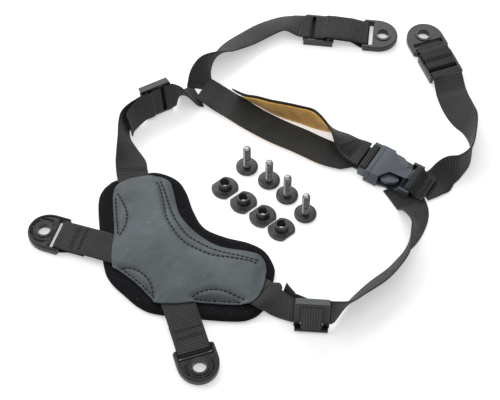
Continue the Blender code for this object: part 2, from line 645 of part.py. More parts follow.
def make_straps():
    """All webbing, each ribbon sewn or threaded as the harness holds it."""
    path = looped_strap_path(SLIDER_FRONT_LEFT, ANCHOR_FRONT_LEFT)
    entry = (beside(SLIDER_FRONT_LEFT, -SLIDER_ENTRY, THROUGH, True),)
    stations = strap_stations(FRONT_LEFT_ROUTE + entry)[:-1]
    ribbon("front_strap_left", stations + folded(SLIDER_FRONT_LEFT, path[::-1]), WEBBING)

    path = looped_strap_path(SLIDER_FRONT_RIGHT, ANCHOR_FRONT_RIGHT)
    leave = (beside(SLIDER_FRONT_RIGHT, -SLIDER_ENTRY, THROUGH, False),)
    stations = strap_stations(leave + FRONT_RIGHT_ROUTE)[1:]
    ribbon("front_strap_right", folded(SLIDER_FRONT_RIGHT, path) + stations, WEBBING)

    before = strap_stations(REAR_LEFT_FROM_PAD + (beside(SLIDER_NAPE_LEFT, SLIDER_ENTRY, THROUGH, False),))
    after = strap_stations((beside(SLIDER_NAPE_LEFT, -SLIDER_ENTRY, THROUGH, False),) + REAR_LEFT_TO_JUNCTION)
    middle = through_slider(SLIDER_NAPE_LEFT, False)
    ribbon("rear_leg_left", before[:-1] + middle + after[1:], WEBBING)

    before = strap_stations(REAR_RIGHT_ROUTE + (beside(SLIDER_NAPE_RIGHT, -SLIDER_ENTRY, THROUGH, True),))
    after = strap_stations((beside(SLIDER_NAPE_RIGHT, SLIDER_ENTRY, THROUGH, True),) + REAR_RIGHT_TO_PAD)
    middle = through_slider(SLIDER_NAPE_RIGHT, True)
    ribbon("rear_leg_right", before[:-1] + middle + after[1:], WEBBING)

    tails = (
        ("slider_tail_left", SLIDER_NAPE_LEFT, TAIL_LEFT_ROUTE, 0),
        ("slider_tail_right", SLIDER_NAPE_RIGHT, TAIL_RIGHT_ROUTE, TAIL_RIGHT_SPREAD),
    )
    for name, slider, route, spread in tails:
        path = KEEPER_PATH[:-1] + ((11.2, KEEPER - spread),)
        hook = folded(slider, rounded(path, BEND))
        free = strap_stations((beside(slider, 11.2, KEEPER - spread, True),) + route)
        ribbon(name, hook + free[1:], WEBBING)

    for name, anchor, reach in (
            ("anchor_strap_left", ANCHOR_REAR_LEFT, 50), ("anchor_strap_bottom", ANCHOR_REAR_BOTTOM, 53)):
        inner = INNER_LAYER - ANCHOR_BAR_HEIGHT
        path = (
            (-reach, inner), (-21, inner), (-1, ANCHOR_LOOP), (ANCHOR_LOOP, ANCHOR_LOOP),
            (ANCHOR_LOOP, -ANCHOR_LOOP), (-2, -ANCHOR_LOOP), (-8, 0.75), (-18, 1.15),
        )
        ribbon(name, folded(anchor, rounded(path, 2.25)), WEBBING)

    stations = strap_stations(CHIN_REAR_ROUTE)
    low = STRAP_BAR_HEIGHT - BUCKLE_LOOP
    high = STRAP_BAR_HEIGHT + BUCKLE_LOOP
    turn = MALE_BAR + BUCKLE_LOOP
    path = ((-13, low - 0.5), (MALE_BAR, low), (turn, low), (turn, high), (MALE_BAR - 1, high), (-8.4, high - 0.2))
    loop = folded(BUCKLE, rounded(path, BUCKLE_LOOP))
    ribbon("chin_band_rear", stations + loop, WEBBING)
    start, end = LINING_REAR_SPAN
    lining_drop = -(HALF_WEB + GAP + LINING_THICKNESS / 2)
    ribbon("chin_lining_rear", stations[start:end], SUEDE, LINING_WIDTH, LINING_THICKNESS, lining_drop)

    stations = strap_stations(CHIN_FRONT_ROUTE, 5)
    ribbon("chin_band_front", stations, WEBBING)
    start, end = LINING_FRONT_SPAN
    lining_drop -= GAP
    ribbon("chin_lining_front", stations[start:end], SUEDE, LINING_WIDTH, LINING_THICKNESS, lining_drop)

    turn = FEMALE_BAR - BUCKLE_LOOP
    path = (
        (FEMALE_BAR + 0.8, low), (turn, low), (turn, high), (FEMALE_BAR + 1, high),
        (FEMALE_BAR + 5, 1.3), (FEMALE_BAR + 11, 1.1),
    )
    ribbon("buckle_loop", folded(BUCKLE, rounded(path, BUCKLE_LOOP)), WEBBING)


def make_screw(name, x, y):
    """A machine screw that stands on its head."""
    top = HEAD_HEIGHT + SHANK_LENGTH
    profile = (
        (0, top), (SHANK_RADIUS - 0.5, top), (SHANK_RADIUS, top - 0.6), (SHANK_RADIUS, HEAD_HEIGHT),
        (HEAD_RADIUS - 1.2, HEAD_HEIGHT), (HEAD_RADIUS, HEAD_HEIGHT - HEAD_RIM), (HEAD_RADIUS, 0.5),
        (HEAD_RADIUS - 0.5, 0), (0, 0),
    )
    screw = turned(name, profile, BLACK_STEEL)
    socket = plate("socket", [circle(0, 0, SOCKET_RADIUS, 6)], -1, SOCKET_DEPTH, BLACK_STEEL)
    screw = combine(screw, socket, "DIFFERENCE")
    return finish(screw, (x, y, 0, 0, 0), BLACK_STEEL)


def make_nut(name, x, y):
    """A post nut: a threaded barrel on a round flange with two flats."""
    flat = math.asin(FLANGE_FLAT / FLANGE_RADIUS)
    arc = [flat * (i / 7 * 2 - 1) for i in range(8)]
    rim = [(FLANGE_RADIUS * math.cos(a), FLANGE_RADIUS * math.sin(a)) for a in arc]
    rim += [(-px, -py) for px, py in rim]
    top = FLANGE_THICKNESS + BARREL_HEIGHT
    nut = plate(name, [rim], 0, FLANGE_THICKNESS, BLACK_STEEL)
    barrel = plate("barrel", [circle(0, 0, BARREL_RADIUS)], 0.4, top, BLACK_STEEL)
    nut = combine(nut, barrel, "UNION")
    bore = plate("bore", [circle(0, 0, BORE_RADIUS)], -1, top + 1, BLACK_STEEL)
    nut = combine(nut, bore, "DIFFERENCE")
    return finish(nut, (x, y, 0, FLAT_HEADING, 0), BLACK_STEEL)


for old in list(bpy.data.objects):
    bpy.data.objects.remove(old)
PARTS = bpy.data.collections.new("chin_strap_harness")
bpy.context.scene.collection.children.link(PARTS)

WEBBING = surface("black_webbing", (0.035, 0.037, 0.032), 0.8)
SUEDE = surface("tan_suede", (0.52, 0.26, 0.07), 0.9)
FELT = surface("dark_felt", (0.012, 0.011, 0.016), 0.95)
FOAM = surface("grey_foam", (0.2, 0.2, 0.2), 0.9)
CLOTH = surface("slate_cloth", (0.11, 0.13, 0.14), 0.85)
PLASTIC = surface("black_plastic", (0.02, 0.025, 0.03), 0.4)
BLACK_STEEL = surface("black_steel", (0.05, 0.05, 0.055), 0.35, 0.9)

make_pad()
make_straps()
make_slider("slider_front_left", SLIDER_FRONT_LEFT)
make_slider("slider_front_right", SLIDER_FRONT_RIGHT)
make_slider("slider_nape_left", SLIDER_NAPE_LEFT)
make_slider("slider_nape_right", SLIDER_NAPE_RIGHT)
make_anchor("anchor_rear_left", ANCHOR_REAR_LEFT)
make_anchor("anchor_rear_bottom", ANCHOR_REAR_BOTTOM)
make_anchor("anchor_front_left", ANCHOR_FRONT_LEFT)
make_anchor("anchor_front_right", ANCHOR_FRONT_RIGHT)
make_buckle_female(BUCKLE)
make_buckle_male(BUCKLE)
make_prong("prong_upper", 1)
make_prong("prong_lower", -1)
for number, (x, y) in enumerate(SCREWS, 1):
    make_screw(f"screw_{number}", x, y)
for number, (x, y) in enumerate(NUTS, 1):
    make_nut(f"nut_{number}", x, y)
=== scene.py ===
import math

import bmesh
import bpy
import numpy as np
from mathutils import Matrix, Vector, noise
from mathutils.bvhtree import BVHTree
from mathutils.geometry import delaunay_2d_cdt


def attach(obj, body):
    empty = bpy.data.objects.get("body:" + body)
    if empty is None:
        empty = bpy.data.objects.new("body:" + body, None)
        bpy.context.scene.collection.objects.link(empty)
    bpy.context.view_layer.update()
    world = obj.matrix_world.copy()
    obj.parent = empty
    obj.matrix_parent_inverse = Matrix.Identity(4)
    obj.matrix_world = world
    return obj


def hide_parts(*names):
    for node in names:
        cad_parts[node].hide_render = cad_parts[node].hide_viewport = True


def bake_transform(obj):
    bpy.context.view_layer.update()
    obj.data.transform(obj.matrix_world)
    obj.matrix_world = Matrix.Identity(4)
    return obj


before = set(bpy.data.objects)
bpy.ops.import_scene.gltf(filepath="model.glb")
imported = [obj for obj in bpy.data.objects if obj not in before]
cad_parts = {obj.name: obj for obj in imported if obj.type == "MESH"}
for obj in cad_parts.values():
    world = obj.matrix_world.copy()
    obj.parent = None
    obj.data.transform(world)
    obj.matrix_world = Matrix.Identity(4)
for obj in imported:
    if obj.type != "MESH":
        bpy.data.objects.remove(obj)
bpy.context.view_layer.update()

MM = 0.001
UP = Vector((0, 0, 1))
CENTRE = (4.47, 11.6)  # the layout's middle, which the part is centred on

# webbing
WIDTH = 19.0
HALF = WIDTH / 2
THICK = 1.3
RIB_PITCH = 1.45
RIB_DEPTH = 0.3
GAP = 0.3
BEND = 1.2

# hardware sizes the webbing is laid round
THROUGH = -(1.0 + GAP + THICK / 2)
LAYER = THICK + GAP
KEEPER = THROUGH - LAYER
OVER = -THROUGH + LAYER
HOOK = -THROUGH
SLOT_EDGE = 10.5 - 3.8 - GAP - THICK / 2
ANCHOR_LOOP = 1.3 + GAP + THICK / 2
BUCKLE_LOOP = 1.4 + GAP + THICK / 2
STRAP_BAR_HEIGHT = 3.6
MALE_BAR = -6.4
FEMALE_BAR = 25.8
BASE_TOP = 5.0
INNER_LAYER = BASE_TOP + GAP + THICK / 2
FLOOR_LAYER = 0.95
FLOOR_GAP = 0.1

# places: x, y, z, heading in degrees, lean in degrees
ANCHOR_REAR_LEFT = (-114.5, -29.3, 3.0, 161.6, 0)
ANCHOR_REAR_BOTTOM = (-32.6, -107.6, 3.0, -72, 0)
ANCHOR_FRONT_LEFT = (78.0, 134.0, 3.0, -7, 0)
ANCHOR_FRONT_RIGHT = (121.6, 121.1, 3.0, 110, 0)
SLIDER_FRONT_LEFT = (47.2, 137.8, 4.4, -7, 180)
SLIDER_FRONT_RIGHT = (126.9, 106.5, 4.4, 110, 180)
SLIDER_NAPE_LEFT = (-60.2, 70.5, 12.3, 208, 100)
SLIDER_NAPE_RIGHT = (36, -88.6, 12.2, 176, -77)
BUCKLE = (81.0, 25.0, 1.7, -32, 0)
PAD_PLACE = (-44.2, -39.4, 0.0, 46, 0)
SCREWS = ((-1.9, 24.9), (12.0, 14.3), (23.2, 2.9), (34.3, -11.0))
NUTS = ((-15.7, 8.7), (-4.0, -2.4), (7.9, -12.7), (19.3, -22.5))

# free webbing, as listed points: x, y, z of the middle and lean in degrees
FRONT_LEFT_ROUTE = (
    (-32, 86, 3.9, 14), (-32.2, 92, 5.8, 42), (-30, 98.5, 7.5, 62), (-26.5, 104.5, 8.5, 92),
    (-22, 110.5, 8, 118), (-18, 116, 6.5, 138), (-12, 122, 4.8, 150), (-3, 129, 3.5, 158),
    (8, 137, 2.6, 160), (20, 142.8, 4.5, 158), (28, 142, 6.2, 166),
)
FRONT_RIGHT_ROUTE = (
    (132.6, 84, 2.5, 12), (134, 74, 3.4, 28), (137.3, 62, 5.8, 45), (140.8, 53, 8.5, 68),
    (141.8, 42, 9.8, 86), (139, 28, 10, 92), (131.5, 19.5, 9.8, 103), (125.5, 16.8, 7.6, 130),
    (121.5, 15, 3.6, 160), (118, 13.2, 0.9, 179), (112.4, 10.2, 0.75, 180), (107, 7.6, 0.75, 180),
)
REAR_RIGHT_ROUTE = (
    (92, 11, FLOOR_LAYER, 0), (97, 2, FLOOR_LAYER, 0), (100.3, -4.5, 1, 0), (101.8, -13, 3.8, -26),
    (101, -26, 9, -65), (98, -34.5, 10, -82), (92.5, -45.5, 9.8, -110), (86, -54.5, 9.4, -119),
    (76, -64, 9.2, -126), (64, -74.5, 9.8, -119), (56.5, -82, 10.8, -108),
)
REAR_RIGHT_TO_PAD = (
    (16.3, -80.8, 11.2, -64), (13.3, -77.6, 11.4, -45), (10.6, -74.8, 10, -20), (7.5, -71.8, 6.8, -3),
    (4.6, -69.6, 5.85, 0), (-8, -64.2, INNER_LAYER, 0), (-30, -57, INNER_LAYER, 0),
)
REAR_LEFT_FROM_PAD = (
    (-62, -24, INNER_LAYER, 0), (-70, 1, INNER_LAYER, 0), (-73.7, 15, 6.1, 0), (-74.6, 20.5, 7.4, 4),
    (-75.8, 28, 7.6, 28), (-78, 37, 8.8, 54), (-80.2, 46, 10, 71), (-80, 54, 10.6, 78),
    (-75.8, 60, 10.9, 80),
)
REAR_LEFT_TO_JUNCTION = (
    (-45.3, 77, 10.5, 112), (-41.5, 79.2, 5, 148), (-38, 81, 2.2, 170), (-34, 82.8, 0.75, 180),
)
TAIL_LEFT_ROUTE = ((-73, 58.2, 11.2, 100), (-76.2, 53.4, 10.7, 98), (-76.6, 49.5, 10.4, 96))
TAIL_RIGHT_ROUTE = ((21.5, -77.5, 11.2, -75), (19.2, -74, 11, -74))
TAIL_RIGHT_SPREAD = 2.8
CHIN_REAR_ROUTE = (
    (-31, 85, 5.7, 0), (-25, 81.6, 4.4, 0), (-18.9, 78, 2.6, 0), (-8.8, 70.9, 1.95, 0),
    (3.9, 61.2, 1.95, 0), (17.9, 52.3, 1.95, 0), (32.5, 44.5, 1.95, 0), (48.5, 35.4, 1.95, 0),
    (60, 31.5, 2.2, 0),
)
CHIN_FRONT_ROUTE = (
    (-9, 80, 8.6, -57), (-1.6, 75.6, 8.7, -58), (5.8, 71.9, 9.2, -66), (14.2, 67.2, 9.6, -74),
    (22.8, 63.9, 9.7, -80), (33.5, 60.1, 9.8, -84), (41.8, 56.6, 9.8, -85), (51.6, 50, 9.6, -62),
    (58, 44.2, 8.4, -38), (62.8, 38.2, 7, -16), (67.4, 33.6, 7, -3), (72.7, 30.2, 7.2, 0),
)
LINING_REAR_SPAN = (8, 22)
LINING_FRONT_SPAN = (5, 37)


def spot(x, y, z):
    """World position of a layout point."""
    return Vector((x - CENTRE[0], y - CENTRE[1], z)) * MM


def smooth(points, steps, closed=False):
    """Rows along a Catmull-Rom curve through rows of numbers."""
    count = len(points)
    spans = count if closed else count - 1
    rows = []
    for i in range(spans):
        near = [i - 1, i, i + 1, i + 2]
        if closed:
            near = [k % count for k in near]
        else:
            near = [min(max(k, 0), count - 1) for k in near]
        a, b, c, d = (points[k] for k in near)
        for step in range(steps):
            t = step / steps
            rows.append([
                0.5 * (2 * q + (r - p) * t + (2 * p - 5 * q + 4 * r - s) * t * t
                       + (3 * q - p - 3 * r + s) * t ** 3)
                for p, q, r, s in zip(a, b, c, d)
            ])
    if not closed:
        rows.append(list(points[-1]))
    return rows


def frame_at(place):
    """Origin and the along, across and out directions of a place."""
    x, y, z, heading, lean = place
    heading = math.radians(heading)
    lean = math.radians(lean)
    along = Vector((math.cos(heading), math.sin(heading), 0))
    across = UP.cross(along) * math.cos(lean) + UP * math.sin(lean)
    return Vector((x, y, z)), along, across, along.cross(across)


def rounded(path, radius, steps=3):
    """A polyline with its corners rounded off."""
    path = [Vector(point) for point in path]
    points = [path[0]]
    for before, corner, after in zip(path, path[1:], path[2:]):
        back = before - corner
        ahead = after - corner
        turn = math.pi - back.angle(ahead)
        reach = min(radius * math.tan(turn / 2), back.length / 2, ahead.length / 2)
        start = corner + back.normalized() * reach
        end = corner + ahead.normalized() * reach
        for step in range(steps + 1):
            t = step / steps
            points.append(start * (1 - t) ** 2 + corner * 2 * t * (1 - t) + end * t * t)
    points.append(path[-1])
    return points


def folded(place, path):
    """Stations of webbing folded along (s, h) points in the plane of a place."""
    origin, along, across, out = frame_at(place)
    stations = []
    for i, (s, h) in enumerate(path):
        ahead = path[min(i + 1, len(path) - 1)]
        behind = path[max(i - 1, 0)]
        step = ahead - behind
        tangent = (along * step.x + out * step.y).normalized()
        stations.append((origin + along * s + out * h, across, tangent.cross(across)))
    return stations


def beside(place, s, h, forward):
    """Route row at (s, h) of a place, for webbing that travels forward or backward there."""
    origin, along, across, out = frame_at(place)
    lean = place[4] if forward else 180 - place[4]
    return (*(origin + along * s + out * h), lean)


SLIDER_ENTRY = 11.5
THROUGH_PATH = (
    (SLIDER_ENTRY, THROUGH), (SLOT_EDGE, THROUGH), (SLOT_EDGE, OVER), (-SLOT_EDGE, OVER),
    (-SLOT_EDGE, THROUGH), (-SLIDER_ENTRY, THROUGH),
)
KEEPER_PATH = (
    (2, HOOK), (-2.55, HOOK), (-2.55, THROUGH), (2.6, THROUGH), (4.8, KEEPER), (11.2, KEEPER),
)


def looped_strap_path(slider, anchor):
    """Keeper fold, upper layer, turn round the anchor's bar and lower layer back to the slider."""
    run = Vector(anchor[:2]) - Vector(slider[:2])
    heading = math.radians(slider[3])
    bar = run.x * math.cos(heading) + run.y * math.sin(heading)
    bar_h = slider[2] - anchor[2]
    top = bar_h - ANCHOR_LOOP
    bottom = bar_h + ANCHOR_LOOP
    turn = bar + ANCHOR_LOOP
    bridge = ()
    under = ()
    if bar > 20:
        bridge = ((22, KEEPER + 0.7),)
        under = ((22, THROUGH + 0.8),)
    path = KEEPER_PATH + bridge + (
        (bar - 0.6, top), (turn, top), (turn, bottom), (bar - 2.0, bottom)) + under + (
        (11.2, THROUGH),) + THROUGH_PATH[1:]
    return rounded(path, 1.6, 4)


BASE_HALF = (
    (-43.4, 0), (-42.8, 13), (-38, 24), (-21.4, 46), (-9, 60.5), (-2, 65), (4.5, 66), (11, 64.5),
    (27.2, 55), (33, 49), (36.5, 38), (34, 27), (27.3, 14.2), (23, 0),
)
COVER_HALF = (
    (-34, 0), (-35, 14), (-35.5, 19), (-27, 28.5), (-19, 35), (-6.3, 50), (1, 57.5), (6.3, 59.5),
    (15, 57.5), (24, 51.5), (29.3, 46), (31.2, 39), (27.7, 31.5), (18.5, 16.5), (16, 0),
)
EXITS = ((16.8, 57.7), (-26.7, 30.6), (-27.6, -26.4), (12.1, -55.1))


def pad_stations(half, steps):
    """Closed outline in the pad's own frame from one half of it."""
    other = [(u, -v) for u, v in reversed(half[1:-1])]
    return smooth(list(half) + other, steps, closed=True)


# ---- materials -------------------------------------------------------------

class Recipe:
    """A Principled material with a short way to add nodes."""

    def __init__(self, name, roughness=0.6, metallic=0.0, specular=0.5):
        self.material = bpy.data.materials.new(name)
        self.material.use_nodes = True
        self.tree = self.material.node_tree
        self.shader = self.tree.nodes["Principled BSDF"]
        self.shader.inputs["Roughness"].default_value = roughness
        self.shader.inputs["Metallic"].default_value = metallic
        self.shader.inputs["Specular IOR Level"].default_value = specular
        self.coords = self.add("ShaderNodeTexCoord")
        self.bump_from = None

    def add(self, kind, **sockets):
        node = self.tree.nodes.new(kind)
        for key, value in sockets.items():
            self.put(node.inputs[key.replace("_", " ")], value)
        return node

    def put(self, socket, value):
        if isinstance(value, bpy.types.NodeSocket):
            self.tree.links.new(value, socket)
        else:
            socket.default_value = value

    def place(self, which, scale, turn=(0, 0, 0)):
        """Coordinates (Object or UV) scaled; object coordinates are in metres."""
        node = self.add("ShaderNodeMapping", Vector=self.coords.outputs[which])
        node.inputs["Scale"].default_value = scale if hasattr(scale, "__len__") else (scale,) * 3
        node.inputs["Rotation"].default_value = turn
        return node.outputs["Vector"]

    def noise(self, vector, scale, detail=3.0, rough=0.55):
        node = self.add("ShaderNodeTexNoise", Vector=vector, Scale=scale, Detail=detail, Roughness=rough)
        return node.outputs["Fac"]

    def waves(self, vector, scale, axis="X", distortion=0.0):
        node = self.add("ShaderNodeTexWave", Vector=vector, Scale=scale, Distortion=distortion)
        node.inputs["Detail"].default_value = 1.0
        node.bands_direction = axis
        return node.outputs["Fac"]

    def ramp(self, value, stops):
        node = self.add("ShaderNodeValToRGB", Fac=value)
        ramp = node.color_ramp
        while len(ramp.elements) < len(stops):
            ramp.elements.new(0.5)
        for element, (place, colour) in zip(ramp.elements, stops):
            element.position = place
            element.color = (*colour, 1)
        return node.outputs["Color"]

    def between(self, value, low, high, to_low, to_high):
        node = self.add("ShaderNodeMapRange", Value=value)
        for key, number in (("From Min", low), ("From Max", high), ("To Min", to_low), ("To Max", to_high)):
            node.inputs[key].default_value = number
        return node.outputs["Result"]

    def math(self, operation, a, b):
        node = self.add("ShaderNodeMath")
        node.operation = operation
        self.put(node.inputs[0], a)
        self.put(node.inputs[1], b)
        return node.outputs[0]

    def mix(self, factor, a, b):
        node = self.add("ShaderNodeMix")
        node.data_type = "RGBA"
        self.put(node.inputs[0], factor)
        self.put(node.inputs[6], a)
        self.put(node.inputs[7], b)
        return node.outputs[2]

    def bump(self, height, depth_mm, strength=1.0):
        node = self.add("ShaderNodeBump", Height=height, Distance=depth_mm * MM, Strength=strength)
        if self.bump_from is not None:
            self.tree.links.new(self.bump_from, node.inputs["Normal"])
        self.bump_from = node.outputs["Normal"]
        self.tree.links.new(self.bump_from, self.shader.inputs["Normal"])

    def colour(self, value):
        self.put(self.shader.inputs["Base Color"], value)

    def rough(self, value):
        self.put(self.shader.inputs["Roughness"], value)


def webbing_material():
    """Nylon webbing: fine lengthwise yarns over crosswise ribs, with painted shade in the rib valleys; UV is
    in centimetres.
    """
    r = Recipe("webbing", 0.62, specular=0.4)
    r.shader.inputs["Sheen Weight"].default_value = 0.12
    r.shader.inputs["Sheen Roughness"].default_value = 0.4
    r.shader.inputs["Sheen Tint"].default_value = (0.75, 0.8, 0.85, 1)
    rib = r.add("ShaderNodeAttribute")
    rib.attribute_name = "rib"
    uv = r.place("UV", 1.0)
    yarns = r.waves(r.place("UV", (1, 0.12, 1)), 6.6, "X", 0.8)
    twist = r.waves(r.place("UV", (1, 1, 1), (0, 0, 0.9)), 9.0, "X", 1.2)
    fuzz = r.noise(uv, 26.0, 4.0, 0.7)
    patch = r.noise(r.place("Object", 1.0), 55.0, 3.0, 0.6)
    base = r.ramp(patch, ((0.3, (0.034, 0.035, 0.031)), (0.7, (0.068, 0.069, 0.062))))
    base = r.mix(r.between(yarns, 0, 1, 0.5, 0.0), base, (0.018, 0.018, 0.017, 1))
    base = r.mix(r.between(fuzz, 0.5, 0.8, 0, 0.3), base, (0.1, 0.1, 0.09, 1))
    # painted shade: the rib valleys are darkened to near-black from the 'rib' attribute
    base = r.mix(r.between(rib.outputs["Fac"], 0.2, 1.0, 1.0, 0.0), base, (0.004, 0.004, 0.004, 1))
    r.colour(base)
    r.rough(r.between(fuzz, 0.3, 0.7, 0.5, 0.75))
    r.bump(yarns, 0.09, 0.8)
    r.bump(twist, 0.035, 0.6)
    r.bump(fuzz, 0.05, 0.5)
    return r.material


def thread_material():
    r = Recipe("thread", 0.5)
    uv = r.place("Object", 1000.0)
    ply = r.waves(uv, 0.9, "DIAGONAL", 1.0)
    r.colour(r.mix(ply, (0.006, 0.006, 0.007, 1), (0.022, 0.022, 0.024, 1)))
    r.bump(ply, 0.05, 0.6)
    return r.material


def suede_material():
    r = Recipe("suede", 0.9, specular=0.15)
    r.shader.inputs["Sheen Weight"].default_value = 0.35
    r.shader.inputs["Sheen Tint"].default_value = (1, 0.8, 0.5, 1)
    near = r.place("Object", 1000.0)
    nap = r.noise(near, 2.6, 5.0, 0.75)
    brushed = r.noise(near, 0.16, 3.0, 0.6)
    base = r.ramp(brushed, ((0.3, (0.72, 0.37, 0.085)), (0.72, (0.95, 0.58, 0.17))))
    r.colour(r.mix(r.between(nap, 0.35, 0.75, 0.35, 0), base, (0.25, 0.11, 0.025, 1)))
    r.bump(nap, 0.12, 0.8)
    return r.material


def felt_material():
    r = Recipe("felt", 0.97, specular=0.1)
    r.shader.inputs["Sheen Weight"].default_value = 0.08
    r.shader.inputs["Sheen Roughness"].default_value = 0.6
    r.shader.inputs["Sheen Tint"].default_value = (0.5, 0.48, 0.56, 1)
    near = r.place("Object", 1000.0)
    fibres = r.noise(near, 1.6, 8.0, 0.8)
    curls = r.add("ShaderNodeTexVoronoi", Vector=near, Scale=1.1).outputs["Distance"]
    lint = r.noise(near, 0.75, 2.0, 0.5)
    base = r.ramp(fibres, ((0.35, (0.002, 0.002, 0.0026)), (0.75, (0.016, 0.0155, 0.017))))
    r.colour(r.mix(r.between(lint, 0.70, 0.76, 0, 0.5), base, (0.16, 0.15, 0.15, 1)))
    r.bump(fibres, 0.3, 0.9)
    r.bump(curls, 0.15, 0.5)
    return r.material


def cover_material():
    """Coated cloth: a close matt grain, rubbed paler in places, with a few specks."""
    r = Recipe("cover", 0.55, specular=0.42)
    near = r.place("Object", 1000.0)
    grain = r.noise(near, 1.9, 5.0, 0.65)
    pores = r.add("ShaderNodeTexVoronoi", Vector=near, Scale=1.35).outputs["Distance"]
    rubbed = r.noise(near, 0.045, 4.0, 0.6)
    streaks = r.noise(r.place("Object", (260, 1100, 1000), (0, 0, 0.5)), 0.12, 4.0, 0.65)
    base = r.ramp(rubbed, ((0.32, (0.066, 0.078, 0.083)), (0.68, (0.104, 0.121, 0.128))))
    base = r.mix(r.between(streaks, 0.52, 0.75, 0, 0.3), base, (0.17, 0.19, 0.195, 1))
    base = r.mix(r.between(grain, 0.4, 0.7, 0.22, 0), base, (0.045, 0.052, 0.056, 1))
    dust = r.noise(near, 0.55, 1.0, 0.4)
    base = r.mix(r.between(dust, 0.80, 0.82, 0, 0.6), base, (0.5, 0.5, 0.47, 1))
    r.colour(base)
    r.rough(r.between(rubbed, 0.3, 0.7, 0.62, 0.5))
    r.bump(grain, 0.06, 0.7)
    r.bump(pores, 0.05, 0.5)
    return r.material


def plastic_material(name="plastic", tint=(0.005, 0.0055, 0.006), pale=(0.03, 0.034, 0.038), rough=0.33):
    """Moulded nylon: fine spark texture, softly scuffed, paler along sharp convex edges."""
    r = Recipe(name, rough, specular=0.42)
    near = r.place("Object", 1000.0)
    spark = r.noise(near, 3.2, 4.0, 0.6)
    scuffs = r.noise(r.place("Object", (300, 1400, 1000), (0.3, 0.2, 0.6)), 0.6, 5.0, 0.7)
    cloud = r.noise(near, 0.11, 3.0, 0.5)
    edge = r.add("ShaderNodeNewGeometry").outputs["Pointiness"]
    base = r.ramp(cloud, ((0.35, tint), (0.7, tuple(c * 1.6 for c in tint))))
    base = r.mix(r.between(edge, 0.52, 0.6, 0, 0.6), base, (*pale, 1))
    base = r.mix(r.between(scuffs, 0.62, 0.8, 0, 0.12), base, (*pale, 1))
    r.colour(base)
    r.rough(r.math("ADD", r.between(spark, 0.3, 0.7, rough - 0.05, rough + 0.09),
                   r.between(scuffs, 0.5, 0.8, 0, 0.12)))
    r.bump(spark, 0.02, 0.6)
    return r.material


def oxide_material():
    r = Recipe("black_oxide", 0.42, 0.75, 0.5)
    near = r.place("Object", 1000.0)
    cloud = r.noise(near, 0.35, 4.0, 0.6)
    fine = r.noise(near, 3.5, 3.0, 0.6)
    edge = r.add("ShaderNodeNewGeometry").outputs["Pointiness"]
    base = r.ramp(cloud, ((0.3, (0.035, 0.036, 0.037)), (0.7, (0.075, 0.075, 0.072))))
    base = r.mix(r.between(edge, 0.52, 0.62, 0, 0.8), base, (0.24, 0.24, 0.23, 1))
    r.colour(base)
    r.rough(r.between(cloud, 0.3, 0.7, 0.36, 0.5))
    r.bump(fine, 0.02, 0.5)
    return r.material


def steel_material():
    r = Recipe("thread_steel", 0.3, 0.95, 0.5)
    near = r.place("Object", 1000.0)
    cloud = r.noise(near, 0.5, 4.0, 0.6)
    r.colour(r.ramp(cloud, ((0.3, (0.14, 0.14, 0.13)), (0.7, (0.4, 0.4, 0.375)))))
    r.rough(r.between(cloud, 0.3, 0.7, 0.24, 0.4))
    return r.material


WEBBING = webbing_material()
THREAD = thread_material()
SUEDE = suede_material()
FELT = felt_material()
COVER = cover_material()
PLASTIC = plastic_material()
BUCKLE_PLASTIC = plastic_material("buckle_plastic", (0.006, 0.008, 0.011), (0.09, 0.11, 0.135), 0.24)
OXIDE = oxide_material()
STEEL = steel_material()
# painted shade: a near-black, rough copy of the plastic that stands for the shade in the anchors' pockets
POCKET_SHADE = plastic_material("pocket_shade_plastic", (0.002, 0.002, 0.002), (0.006, 0.006, 0.006), 0.7)


# ---- mesh helpers ----------------------------------------------------------

def new_piece(name, verts, faces, material, body=None, uvs=None, ribs=None):
    """A smooth mesh object from points in metres in the row frame."""
    mesh = bpy.data.meshes.new(name)
    mesh.from_pydata([tuple(v) for v in verts], [], [tuple(f) for f in faces])
    mesh.validate()
    if uvs is not None:
        layer = mesh.uv_layers.new(name="flat")
        index = np.empty(len(mesh.loops), dtype=np.int32)
        mesh.loops.foreach_get("vertex_index", index)
        layer.data.foreach_set("uv", np.asarray(uvs, dtype=np.float32)[index].ravel())
    # the 'rib' attribute carries the rib profile, which the webbing material uses to paint shade in the rib
    # valleys
    if ribs is not None:
        rib = mesh.attributes.new("rib", "FLOAT", "POINT")
        rib.data.foreach_set("value", np.asarray(ribs, dtype=np.float32))
    obj = bpy.data.objects.new(name, mesh)
    bpy.context.scene.collection.objects.link(obj)
    mesh.materials.append(material)
    outward(obj)
    if body:
        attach(obj, body)
    return obj


def unit(rows):
    return rows / np.maximum(np.linalg.norm(rows, axis=1, keepdims=True), 1e-9)


def strap_stations(rows, steps=14):
    """Dense (middle, across, normal, 1) stations of free webbing, never below the floor."""
    rows = smooth(rows, steps)
    stations = []
    for i, (x, y, z, lean) in enumerate(rows):
        ahead = Vector(rows[min(i + 1, len(rows) - 1)][:3])
        behind = Vector(rows[max(i - 1, 0)][:3])
        heading = (ahead - behind).normalized()
        left = UP.cross(heading).normalized()
        lean = math.radians(lean)
        across = left * math.cos(lean) + UP * math.sin(lean)
        normal = heading.cross(across).normalized()
        lowest = FLOOR_GAP + abs(across.z) * HALF + abs(normal.z) * THICK / 2
        stations.append((Vector((x, y, max(z, lowest))), across, normal, 1.0))
    return stations


def held(place, path):
    """Stations of webbing held by hardware."""
    return [(*row, 0.0) for row in folded(place, path)]


def soften(values, reach):
    """Moving average along the first axis."""
    if reach < 1:
        return values
    padded = np.concatenate([values[:1]] * reach + [values] + [values[-1:]] * reach)
    total = sum(padded[k:k + len(values)] for k in range(2 * reach + 1))
    return total / (2 * reach + 1)


